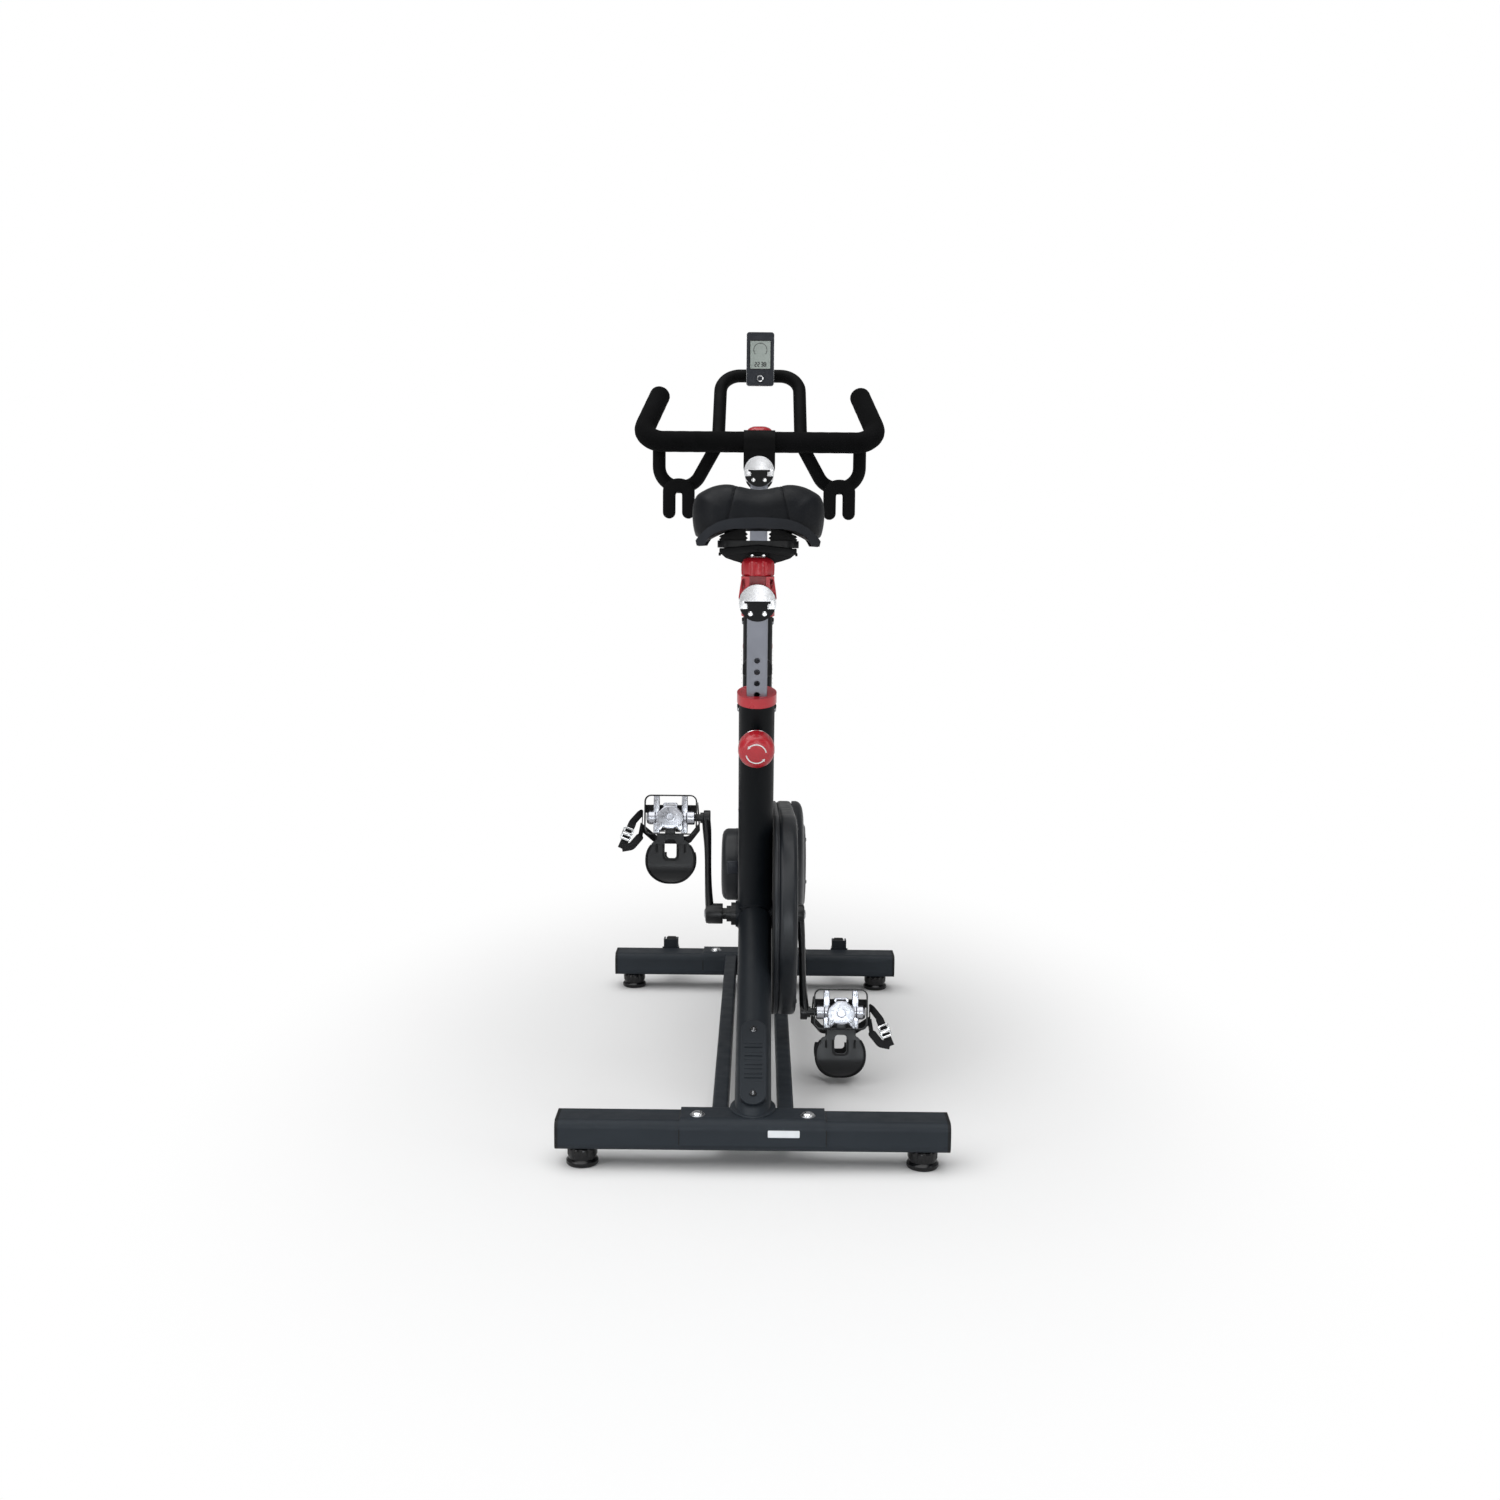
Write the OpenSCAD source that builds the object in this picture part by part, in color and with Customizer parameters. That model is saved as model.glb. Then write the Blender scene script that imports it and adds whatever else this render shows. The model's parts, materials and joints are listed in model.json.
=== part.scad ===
// Indoor exercise bike: belt drive, front flywheel, magnetic brake.
// Rider faces +Y, right hand is +X, up is +Z, and the feet stand on z = 0.

/* [Base] */
// Overall width over the stabilizer end caps
stab_w = 600; // [480:5:720]
// Distance between the two stabilizers, centre to centre
stab_pitch = 1040; // [990:5:1250]
// Depth of a stabilizer tube, front to back
stab_d = 68; // [54:1:82]
// Height of a stabilizer tube
stab_h = 47; // [38:1:58]
// Height of a stabilizer's underside above the floor
stab_lift = 31; // [26:1:42]
// Corner radius of a stabilizer tube
stab_r = 12; // [6:1:16]
// Wall of a stabilizer tube
stab_wall = 3; // [2:0.5:4]
// Width of a saddle bracket along its stabilizer
bracket_w = 221; // [180:1:270]
// Plate thickness of the saddle brackets
bracket_t = 4; // [3:0.5:5]
// Distance of each bracket bolt from the middle
bolt_x = 84; // [72:1:86]
// Width of a base rail
rail_w = 25; // [20:1:30]
// Height of a base rail
rail_h = 40; // [30:1:46]
// Distance of each base rail from the middle
rail_x = 51; // [46:1:60]
// Diameter of a levelling foot
foot_d = 50; // [40:1:60]
// Distance of each levelling foot from the middle
foot_x = 261; // [210:1:268]
// Diameter of a transport wheel
wheel_d = 60; // [50:1:66]
// Width of a transport wheel
wheel_t = 22; // [18:1:26]
// Distance of each transport wheel from the middle
wheel_x = 184; // [150:1:200]

/* [Frame] */
// Crank axis ahead of the rear stabilizer
bb_reach = 415; // [400:1:430]
// Height of the crank axis
bb_z = 300; // [290:1:310]
// Backward lean of the seat tube in degrees
seat_lean = 17; // [15:0.5:19]
// Outer diameter of the seat tube
seat_tube_d = 60; // [58:0.5:60]
// Length of the seat tube above the crank axis
seat_tube_len = 405; // [385:1:430]
// Outer diameter of the rear strut
strut_d = 57; // [50:1:58]
// Flywheel axis ahead of the rear stabilizer
axle_reach = 860; // [845:1:880]
// Height of the flywheel axis
axle_z = 304; // [295:1:315]
// Backward lean of the head tube in degrees
head_lean = 5; // [3:0.5:7]
// Outer diameter of the head tube
head_tube_d = 58; // [57:0.5:60]
// Length from the flywheel axis to the top of the head tube
head_tube_len = 510; // [490:1:540]
// Outer diameter of the main beam
beam_d = 57; // [50:1:58]
// Wall of the frame tubes
tube_wall = 2.5; // [2:0.25:3]

/* [Drive] */
// Crank length, crank axis to pedal axis
crank_r = 170; // [165:2.5:175]
// Forward tilt of the raised left crank, in degrees from upright
crank_tilt = 16; // [0:1:40]
// Middle of each pedal from the middle of the bike
pedal_x = 152; // [148:1:158]
// Flywheel diameter
flywheel_d = 470; // [420:2:480]
// Flywheel rim width
flywheel_t = 28; // [22:1:30]
// Drive pulley diameter over the belt seat
pulley_d = 220; // [180:1:240]
// Turns of the flywheel for one turn of the cranks
drive_ratio = 4; // [3.5:0.1:4.5]
// Radius of the belt guard about the crank axis
guard_r = 175; // [150:1:180]
// Radius of the belt guard about the flywheel axis
guard_front_r = 130; // [110:1:134]
// Outer face of the belt guard from the middle of the bike
guard_x = 72; // [70:0.5:73]
// Diameter of the axle covers
axle_cover_d = 146; // [120:1:160]
// Outer face of the left axle cover from the middle of the bike
left_cover_out = 69; // [64:1:76]
// Outer face of the right axle cover from the middle of the bike
right_cover_out = 101; // [94:1:108]

/* [Saddle] */
// Width of both sliding posts
post_w = 34; // [30:0.5:35]
// Depth of both sliding posts
post_d = 40; // [36:0.5:41]
// Length of post showing above the seat tube collar
seat_post_out = 126; // [110:1:180]
// Diameter of the saddle and handlebar rails
rail_d = 58; // [54:0.5:60]
// Length of the saddle rail
seat_rail_len = 250; // [220:2:280]
// Saddle width
saddle_w = 212; // [190:2:250]
// Saddle length
saddle_len = 265; // [240:2:285]
// Height of the saddle's top above the saddle rail's axis
saddle_rise = 184; // [178:1:205]

/* [Handlebar] */
// Length of post showing above the head tube collar
bar_post_out = 243; // [200:1:280]
// Length of the handlebar rail
bar_rail_len = 200; // [180:2:240]
// Distance between the crossbar's two corners
bar_w = 470; // [440:2:520]
// Diameter of the foam grips
grip_d = 41; // [36:0.5:44]
// Diameter of the bent handlebar tubes
bar_tube_d = 25.4; // [22:0.2:26]
// Rise of the horns above the crossbar
horn_rise = 97; // [80:1:120]
// Console width
console_w = 54; // [50:1:66]
// Console height
console_h = 104; // [96:1:120]

/* [Hidden] */

$fn = 64;
LEFT = -1;
RIGHT = 1;
REAR = -1;
FRONT = 1;

// Clearances
slide_gap = 0.3;      // between curved or soft faces of pieces that slide
fit_gap = 0.08;       // radial running fit of a shaft in its hole
seat_gap = 0.02;      // radial gap of a piece that is held in its seat
tuck = 0.05;          // how far a straight run lies inside the round it leaves

// Colours
satin_black = [0.09, 0.10, 0.11];
dull_black = [0.05, 0.05, 0.05];
signal_red = [0.78, 0.08, 0.12];
bright_silver = [0.78, 0.79, 0.81];
steel = [0.60, 0.61, 0.63];
leather_black = [0.12, 0.13, 0.14];

// Transport wheel bracket
wheel_plate_t = 3;
wheel_cheek_t = 3;
wheel_side_gap = 1.5;
wheel_back_gap = 2;
wheel_z = stab_lift + stab_h - 15;
wheel_axle_d = 8;

// Front-to-back places; the bounding box is centred on the origin
rear_reach = stab_d / 2 + bracket_t;
front_reach = stab_pitch + stab_d / 2 + wheel_plate_t + wheel_back_gap + wheel_d;
y_rear = (rear_reach - front_reach) / 2;
y_front = y_rear + stab_pitch;
stab_z = stab_lift + stab_h / 2;
stab_top = stab_lift + stab_h;
cap_lip = 5;
bolt_back = 10;
cap_plug = 15;
bb_y = y_rear + bb_reach;
axle_y = y_rear + axle_reach;

// Levelling feet
foot_stem_d = 10;
foot_boss_d = 20;
foot_boss_h = 14;

// Rear strut, from the rear bracket up to the crank axis
strut_foot = [0, y_rear + 20, stab_lift + stab_h - 2];
strut_head = [0, bb_y - 26, bb_z - 3];
strut_len = norm(strut_head - strut_foot);
strut_angle = atan2(strut_head[2] - strut_foot[2], strut_head[1] - strut_foot[1]);
cover_w = 41;
cover_len = 170;
cover_t = 5;
cover_screws = [0.12, 0.88];
cover_from = -10;

// Crank shell and spindle
bb_shell_d = 46;
bb_shell_w = 68;
bb_cup_d = 40;
bb_cup_out = 8;
bb_cup_in = 14;
spindle_d = 20;
seat_tube_below = 27;

// Fork and flywheel
fork_gap = 17;
fork_leg_t = 13;
fork_leg_w = 48;
fork_out = fork_gap + fork_leg_t;
bearing_d = 40;
axle_d = 17;
flywheel_rim = 46;
flywheel_web_t = 9;
crown_z = flywheel_d / 2 + 22;
crown_h = 26;

// Belt drive
plate_t = 2.5;
guard_in = fork_out + 0.5;
guard_wall = 3;
belt_w = 13;
belt_t = 3;
belt_x = 53;
small_pulley_d = pulley_d / drive_ratio;
pulley_side = belt_x - belt_w / 2 - 1;
pulley_w = belt_w + 2;
flange_t = 1.5;
pulley_web_t = 4;
pulley_in = pulley_side - flange_t;
shoulder_in = bb_shell_w / 2 + bb_cup_out + slide_gap;
shoulder_t = 7.7;
shoulder_d = spindle_d + 8;
drive_dist = norm([axle_y - bb_y, axle_z - bb_z]);
drive_slope = atan2(axle_z - bb_z, axle_y - bb_y);
boss_hole_d = 50;
left_step_x = 38;

// Cranks and pedals
boss_d = 40;
arm_out = 90;
arm_t = 12;
arm_boss_in = 57;
arm_end_d = 30;
pedal_axle_d = 13;
pedal_tilt = -10;
left_pedal = [0, bb_y + crank_r * sin(crank_tilt), bb_z + crank_r * cos(crank_tilt)];
right_pedal = [0, bb_y - crank_r * sin(crank_tilt), bb_z - crank_r * cos(crank_tilt)];
cage_w = 94;
cage_h = 70;
cage_up = 5;
clip_w = 88;
clip_bottom = -118;
clip_depth = 72;

// Seat tube, collar, post and rail, measured along the leaned axis
collar_d = 66;
collar_h = 17;
sleeve_len = 140;
pin_down = 60;
pin_z = seat_tube_len - pin_down;
hole_pitch = 20;
hole_d = 10;
pin_boss_d = 30;
pin_boss_out = 14;
pin_knob_d = 61;
pin_knob_h = 30;
pin_shaft_d = 9.8;
post_wall = 3;
post_r = 3;
pin_hole_d = pin_shaft_d + 2.4;
set_screw_d = 4.9;
set_screw_down = 14;
tube_floor = 6;
collar_top = seat_tube_len + collar_h;
seat_head_z = collar_top + seat_post_out;
slot_flat = 11;
rail_z = bb_z + seat_head_z * cos(seat_lean) + slot_flat + 20;
rail_post_y = bb_y - seat_head_z * sin(seat_lean);
seat_rail_back = rail_post_y - 115;

// Saddle
saddle_top = rail_z + saddle_rise;
saddle_y = seat_rail_back + 88;
sled_len = 120;
sled_w = 52;
sled_top = rail_d / 2 + 12;
lock_shaft_d = 10;
saddle_knob_y = saddle_y - 47;
clamp_y = saddle_y + 8;
lock_knob_d = 53;
lock_knob_h = 31;
clamp_w = 56;
clamp_len = 54;
clamp_z = rail_z + sled_top + 20;
clamp_h = 25;
plate_w = 129;
plate_len = 120;
plate_h = 11;
saddle_back = saddle_y - 130;
pan_arch = 44;
pan_edge_z = saddle_top - 107;
pan_r = (pow(saddle_w / 2 - 3, 2) + pow(pan_arch, 2)) / (2 * pan_arch);
pan_t = 7;
pan_centre_z = pan_edge_z + pan_arch - pan_r;

// Head tube, handlebar post and rail
bar_collar_top = head_tube_len + collar_h;
bar_head_z = bar_collar_top + bar_post_out;
bar_rail_z = axle_z + bar_head_z * cos(head_lean) + slot_flat + 8;
bar_rail_post_y = axle_y - bar_head_z * sin(head_lean);
bar_rail_back = bar_rail_post_y - 34;
bar_pin_down = 70;
bar_pin_z = head_tube_len - bar_pin_down;
beam_from = 200;
beam_to = 350;
beam_foot = [0, bb_y - beam_from * sin(seat_lean), bb_z + beam_from * cos(seat_lean)];
beam_head = [0, axle_y - beam_to * sin(head_lean), axle_z + beam_to * cos(head_lean)];
beam_len = norm(beam_head - beam_foot);
beam_angle = atan2(beam_head[2] - beam_foot[2], beam_head[1] - beam_foot[1]);

// Insides of the round tubes
tube_bore = seat_tube_d - 2 * tube_wall;
head_bore = head_tube_d - 2 * tube_wall;
beam_bore = beam_d - 2 * tube_wall;

// Magnetic brake
brake_y = axle_y - 98;
brake_beam_z = beam_foot[2] + (brake_y - beam_foot[1]) * tan(beam_angle);
brake_boss_top = brake_beam_z + 66;
brake_knob_d = 58;
brake_knob_h = 35;
brake_shaft_d = 10;
brake_travel = 12;
carrier_gap = 3;
carrier_t = 8;
carrier_len = 60;
carrier_top = axle_z + flywheel_d / 2 + brake_travel + 12;
carrier_bottom = carrier_top - 66;

// Handlebar
bar_y = bar_rail_post_y + 6;
bar_z = bar_rail_z + 58;
carriage_w = 61;
carriage_len = 125;
carriage_back = bar_rail_post_y - 20;
bar_knob_y = bar_y + 70;
bar_sled_top = rail_d / 2 + 12;
bar_column_h = bar_z + 4 - bar_rail_z - bar_sled_top;
bar_clamp_d = 46;
horn_reach = 105;
horn_in = 35;
bend_r = 38;
loop_x = 78;
loop_y = bar_y + grip_d / 2 + bar_tube_d / 2 + 0.4;
loop_top = bar_z + 139;
loop_reach = 120;
hook_x = 196;
hook_y = loop_y + 4;
hook_z = bar_z - 85;
peg_d = 14;
holder_w = 62;
holder_h = 78;
holder_t = 22;
holder_slot = 13;
holder_slot_top = 45;
holder_x = 157;
console_t = 20;
console_z = loop_top + 29;
console_y = bar_y + loop_reach - bar_tube_d / 2 - 16;
screen_w = 40;
screen_h = 54;
button_d = 14;

// ---------- shared shapes ----------

// Rounded rectangle, centred
module round_rect(w, h, r) {
    square([w - 2 * r, h], center = true);
    square([w, h - 2 * r], center = true);
    for (sx = [-1, 1], sy = [-1, 1])
        translate([sx * (w / 2 - r), sy * (h / 2 - r)]) circle(r = r);
}

// Cylinder along X between two places
module bar_x(x0, x1, d) {
    translate([min(x0, x1), 0, 0]) rotate([0, 90, 0]) cylinder(d = d, h = abs(x1 - x0));
}

// Cylinder along Y between two places
module bar_y(y0, y1, d) {
    translate([0, min(y0, y1), 0]) rotate([-90, 0, 0]) cylinder(d = d, h = abs(y1 - y0));
}

// Outline round two circles joined by their outer tangents, in the drive plane
module belt_outline(r1, r2, dist, steps = 60) {
    a = acos((r1 - r2) / dist);
    polygon(concat(
        [for (k = [0 : steps]) let (t = a + (360 - 2 * a) * k / steps) r1 * [cos(t), sin(t)]],
        [for (k = [0 : steps]) let (t = 2 * a * k / steps - a) [dist + r2 * cos(t), r2 * sin(t)]]));
}

// Places a drive outline in the YZ plane, growing along +X from x0
module drive_plate(x0, t) {
    translate([x0, bb_y, bb_z])
        rotate([drive_slope, 0, 0]) rotate([90, 0, 90]) linear_extrude(t) children();
}

module at_cranks() { translate([0, bb_y, bb_z]) children(); }
module at_axle() { translate([0, axle_y, axle_z]) children(); }
module along_seat_tube() { at_cranks() rotate([seat_lean, 0, 0]) children(); }
module along_head_tube() { at_axle() rotate([head_lean, 0, 0]) children(); }
module along_strut() { translate(strut_foot) rotate([strut_angle - 90, 0, 0]) children(); }
module along_beam() { translate(beam_foot) rotate([beam_angle - 90, 0, 0]) children(); }
module at_pedal(side) {
    translate(side == LEFT ? left_pedal : right_pedal)
        translate([side * pedal_x, 0, 0]) rotate([pedal_tilt, 0, 0])
        scale([side, 1, 1]) children();
}

function unit(v) = v / norm(v);

// Points of an arc of radius r that rounds the corner at b
function corner_arc(a, b, c, r, n) =
    let (u = unit(a - b), v = unit(c - b), half = acos(u * v) / 2,
         centre = b + unit(u + v) * r / sin(half),
         s = b + u * r / tan(half) - centre, e = b + v * r / tan(half) - centre,
         arc = 180 - 2 * half)
    [for (k = [0 : n]) centre + (sin((1 - k / n) * arc) * s + sin(k / n * arc) * e) / sin(arc)];

// A path with every inner corner rounded
function rounded_path(p, r, n = 6) = concat(
    [p[0]],
    [for (i = [1 : len(p) - 2], q = corner_arc(p[i - 1], p[i], p[i + 1], r, n)) q],
    [p[len(p) - 1]]);

function path_dir(p, i) = unit(p[min(i + 1, len(p) - 1)] - p[max(i - 1, 0)]);
function level(n, t) = unit(n - (n * t) * t);

// Rings of the closed section sec, carried along the path p
function sweep_rings(p, sec, up) = [
    for (i = 0, n = level(up, path_dir(p, 0)); i < len(p);
         i = i + 1, n = i < len(p) ? level(n, path_dir(p, i)) : n)
    let (b = cross(path_dir(p, i), n))
    [for (q = sec) p[i] + q[0] * n + q[1] * b]
];

module sweep(p, sec, up = [0, 0, 1]) {
    rings = sweep_rings(p, sec, up);
    m = len(sec);
    last = len(p) - 1;
    points = [for (ring = rings, q = ring) q];
    sides = [for (i = [0 : last - 1], k = [0 : m - 1])
        [i * m + k, (i + 1) * m + k, (i + 1) * m + (k + 1) % m, i * m + (k + 1) % m]];
    polyhedron(points, concat(
        [[for (k = [0 : m - 1]) k]], sides, [[for (k = [0 : m - 1]) last * m + m - 1 - k]]));
}

// Sweeps a tube with a bore, so it fits round another tube
module sweep_sleeve(p, d_out, d_in, n = 20, up = [0, 0, 1]) {
    outer = sweep_rings(p, ring_section(d_out, n), up);
    inner = sweep_rings(p, ring_section(d_in, n), up);
    last = len(p) - 1;
    half = len(p) * n;
    points = concat([for (ring = outer, q = ring) q], [for (ring = inner, q = ring) q]);
    out_sides = [for (i = [0 : last - 1], k = [0 : n - 1])
        [i * n + k, (i + 1) * n + k, (i + 1) * n + (k + 1) % n, i * n + (k + 1) % n]];
    in_sides = [for (f = out_sides) [half + f[3], half + f[2], half + f[1], half + f[0]]];
    ends = [for (k = [0 : n - 1]) each [
        [k, (k + 1) % n, half + (k + 1) % n, half + k],
        [last * n + (k + 1) % n, last * n + k, half + last * n + k, half + last * n + (k + 1) % n]]];
    polyhedron(points, concat(out_sides, in_sides, ends));
}

function ring_section(d, n) = [for (k = [0 : n - 1]) d / 2 * [cos(360 * k / n), sin(360 * k / n)]];

// ---------- base ----------

module stab_section(grow = 0) {
    round_rect(stab_d + 2 * grow, stab_h + 2 * grow, stab_r + grow);
}

module along_stab(y, w) {
    translate([-w / 2, y, stab_z]) rotate([90, 0, 90]) linear_extrude(w) children();
}

module bracket_bolt_holes(y, d) {
    for (s = [-1, 1])
        translate([s * bolt_x, y - bolt_back, stab_top - stab_wall - 1])
            cylinder(d = d, h = bracket_t + stab_wall + 2);
}

module stabilizer(y) {
    difference() {
        union() {
            difference() {
                along_stab(y, stab_w - 2 * cap_lip) stab_section();
                along_stab(y, stab_w) stab_section(-stab_wall);
            }
            for (s = [-1, 1])
                translate([s * foot_x, y, stab_lift + stab_wall / 2])
                    cylinder(d = foot_boss_d, h = foot_boss_h);
        }
        for (s = [-1, 1])
            translate([s * foot_x, y, 0])
                cylinder(r = foot_stem_d / 2 + fit_gap, h = stab_top - stab_wall - 4);
        bracket_bolt_holes(y, 10);
    }
}

module stabilizers() {
    color(satin_black) {
        stabilizer(y_rear);
        stabilizer(y_front);
    }
}

module stabilizer_cap(y, side) {
    translate([side * (stab_w / 2 - cap_lip), y, stab_z]) rotate([90, 0, side * 90]) {
        linear_extrude(cap_lip) stab_section();
        translate([0, 0, -cap_plug]) linear_extrude(cap_plug + 1) difference() {
            stab_section(-stab_wall - 0.1);
            stab_section(-stab_wall - 2.6);
        }
    }
}

module stabilizer_caps() {
    color(dull_black)
        for (y = [y_rear, y_front], side = [LEFT, RIGHT]) stabilizer_cap(y, side);
}

module bracket_shell(y) {
    difference() {
        along_stab(y, bracket_w) stab_section(bracket_t);
        along_stab(y, bracket_w + 2) stab_section();
        translate([-bracket_w, y - stab_d, 0])
            cube([2 * bracket_w, 2 * stab_d, stab_lift + stab_r]);
        bracket_bolt_holes(y, 10);
    }
}

module base_rail(side) {
    run = stab_pitch - stab_d - bracket_t;
    translate([side * rail_x, y_rear + stab_pitch / 2, stab_top - rail_h / 2])
        rotate([90, 0, 0]) linear_extrude(run, center = true) difference() {
            round_rect(rail_w, rail_h, 4);
            round_rect(rail_w - 4, rail_h - 4, 2);
        }
}

module strut_outline(d) {
    along_strut() translate([0, 0, -80]) cylinder(d = d, h = strut_len + 80);
}

module base_frame() {
    color(satin_black) difference() {
        union() {
            bracket_shell(y_rear);
            bracket_shell(y_front);
            for (side = [LEFT, RIGHT]) base_rail(side);
            difference() {
                strut_outline(strut_d);
                strut_outline(strut_d - 2 * tube_wall);
                translate([-stab_w, y_rear - stab_w / 2, 0])
                    cube([2 * stab_w, stab_w, stab_top + bracket_t / 2]);
                along_seat_tube() translate([0, 0, -seat_tube_below - 60])
                    cylinder(d = seat_tube_d, h = seat_tube_len);
                at_cranks() bar_x(-bb_shell_w, bb_shell_w, bb_shell_d);
            }
        }
        along_strut() for (t = cover_screws)
            translate([0, -strut_d / 2 - 1, cover_from + t * cover_len])
                rotate([-90, 0, 0]) cylinder(d = 5, h = tube_wall + 4);
    }
}

module access_cover() {
    color(dull_black) along_strut() difference() {
        translate([0, 0, cover_from + cover_len / 2]) rotate([90, 0, 0]) difference() {
            linear_extrude(strut_d / 2 + cover_t) union() {
                square([cover_w, cover_len - cover_w], center = true);
                for (s = [-1, 1]) translate([0, s * (cover_len - cover_w) / 2]) circle(d = cover_w);
            }
            for (k = [-4 : 4])
                translate([-14, k * 9 - 1.5, strut_d / 2 + cover_t - 1.2]) cube([28, 3, 2]);
        }
        translate([0, 0, -90]) cylinder(d = strut_d + 2 * tuck, h = strut_len + 180, $fn = 96);
        for (t = cover_screws)
            translate([0, -strut_d, cover_from + t * cover_len]) rotate([-90, 0, 0])
                cylinder(d = 4, h = strut_d);
    }
}

module dome_bolt(shaft_d, shaft_len, head_d, head_h) {
    rotate_extrude() polygon([
        [0, -shaft_len], [shaft_d / 2, -shaft_len], [shaft_d / 2, 0], [head_d / 2, 0],
        [head_d / 2, head_h * 0.4], [head_d / 3, head_h], [0, head_h]
    ]);
}

module frame_bolts() {
    color(steel) {
        for (y = [y_rear, y_front], s = [-1, 1])
            translate([s * bolt_x, y - bolt_back, stab_top + bracket_t]) dome_bolt(9.8, 10, 18, 5);
        along_strut() for (t = cover_screws)
            translate([0, -strut_d / 2 - cover_t, cover_from + t * cover_len])
                rotate([90, 0, 0]) dome_bolt(3.9, 9, 9, 2);
        for (s = [-1, 1]) {
            along_seat_tube() translate([s * seat_tube_d / 2, 0, seat_tube_len - set_screw_down])
                rotate([0, s * 90, 0]) dome_bolt(set_screw_d, tube_wall, 8, 2.5);
            along_head_tube() translate([s * head_tube_d / 2, 0, head_tube_len - set_screw_down])
                rotate([0, s * 90, 0]) dome_bolt(set_screw_d, tube_wall, 8, 2.5);
        }
    }
}

module foot(side, y) {
    color(dull_black) translate([side * foot_x, y, 0]) rotate_extrude() polygon([
        [0, 0], [foot_d / 2 - 2, 0], [foot_d / 2, 3], [foot_d / 2, 8], [foot_d / 2 - 3, 14],
        [foot_d / 2 - 3, stab_lift - 3], [foot_d / 2 - 6, stab_lift - 0.3],
        [foot_stem_d / 2, stab_lift - 0.3], [foot_stem_d / 2, stab_lift + 20], [0, stab_lift + 20]
    ]);
}

module at_wheel(side) {
    back = stab_d / 2 + wheel_plate_t + wheel_back_gap;
    translate([side * wheel_x, y_front + back + wheel_d / 2, wheel_z]) children();
}

module wheel_bracket(side) {
    inner = wheel_t + 2 * wheel_side_gap;
    outer = inner + 2 * wheel_cheek_t;
    back = wheel_d / 2 + wheel_back_gap;
    at_wheel(side) {
        difference() {
            union() {
                translate([-outer / 2 - 3, -back - wheel_plate_t, stab_lift + 6 - wheel_z])
                    cube([outer + 6, wheel_plate_t, stab_h - 6]);
                translate([-outer / 2, -back - wheel_plate_t, 0])
                    cube([outer, wheel_plate_t, wheel_d / 2 + 2]);
                for (s = [-1, 1]) translate([s * (outer - wheel_cheek_t) / 2, 0, 0]) {
                    rotate([0, 90, 0]) cylinder(d = 24, h = wheel_cheek_t, center = true);
                    translate([-wheel_cheek_t / 2, -back - 1, -12])
                        cube([wheel_cheek_t, back + 1, 24]);
                    translate([-wheel_cheek_t / 2, -back - 1, 0])
                        cube([wheel_cheek_t, back - 10, wheel_d / 2 + 2]);
                }
            }
            bar_x(-outer, outer, wheel_axle_d);
        }
        bar_x(-outer / 2 - 2, outer / 2 + 2, wheel_axle_d);
    }
}

module wheel_brackets() {
    color(dull_black) for (side = [LEFT, RIGHT]) wheel_bracket(side);
}

module wheel(side) {
    r = wheel_d / 2;
    w = wheel_t / 2;
    bore = wheel_axle_d / 2 + fit_gap;
    color(dull_black) at_wheel(side) rotate([0, 90, 0]) rotate_extrude() polygon([
        [bore, -w], [9, -w], [9, -w + 3], [r - 8, -w + 3], [r - 8, -w], [r - 2, -w], [r, -w + 3],
        [r, w - 3], [r - 2, w], [r - 8, w], [r - 8, w - 3], [9, w - 3], [9, w], [bore, w]
    ]);
}

// ---------- frame ----------

module seat_tube() {
    color(satin_black) difference() {
        union() {
            along_seat_tube() difference() {
                union() {
                    translate([0, 0, -seat_tube_below])
                        cylinder(d = seat_tube_d, h = seat_tube_len + seat_tube_below, $fn = 96);
                    translate([0, 0, pin_z]) bar_y(-seat_tube_d / 2 - pin_boss_out, 0, pin_boss_d);
                }
                translate([0, 0, -seat_tube_below + tube_floor])
                    cylinder(d = tube_bore, h = seat_tube_len + seat_tube_below, $fn = 96);
            }
            at_cranks() bar_x(-bb_shell_w / 2, bb_shell_w / 2, bb_shell_d);
        }
        at_cranks() bar_x(-bb_shell_w, bb_shell_w, bb_cup_d);
        along_seat_tube() {
            translate([0, 0, pin_z]) bar_y(-seat_tube_d, 0, pin_hole_d);
            translate([0, 0, seat_tube_len - set_screw_down])
                bar_x(-seat_tube_d, seat_tube_d, set_screw_d + 0.1);
        }
    }
}

module main_beam() {
    color(satin_black) difference() {
        union() {
            difference() {
                along_beam() cylinder(d = beam_d, h = beam_len, $fn = 96);
                along_beam() translate([0, 0, -1])
                    cylinder(d = beam_bore, h = beam_len + 2, $fn = 96);
            }
            translate([0, brake_y, brake_beam_z - beam_d / 2 - 8])
                cylinder(d = 24, h = brake_boss_top - brake_beam_z + beam_d / 2 + 8);
        }
        along_seat_tube() cylinder(d = seat_tube_d, h = seat_tube_len, $fn = 96);
        along_head_tube() cylinder(d = head_tube_d, h = head_tube_len, $fn = 96);
        translate([0, brake_y, axle_z]) cylinder(r = brake_shaft_d / 2 + fit_gap, h = brake_boss_top);
    }
}

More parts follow.
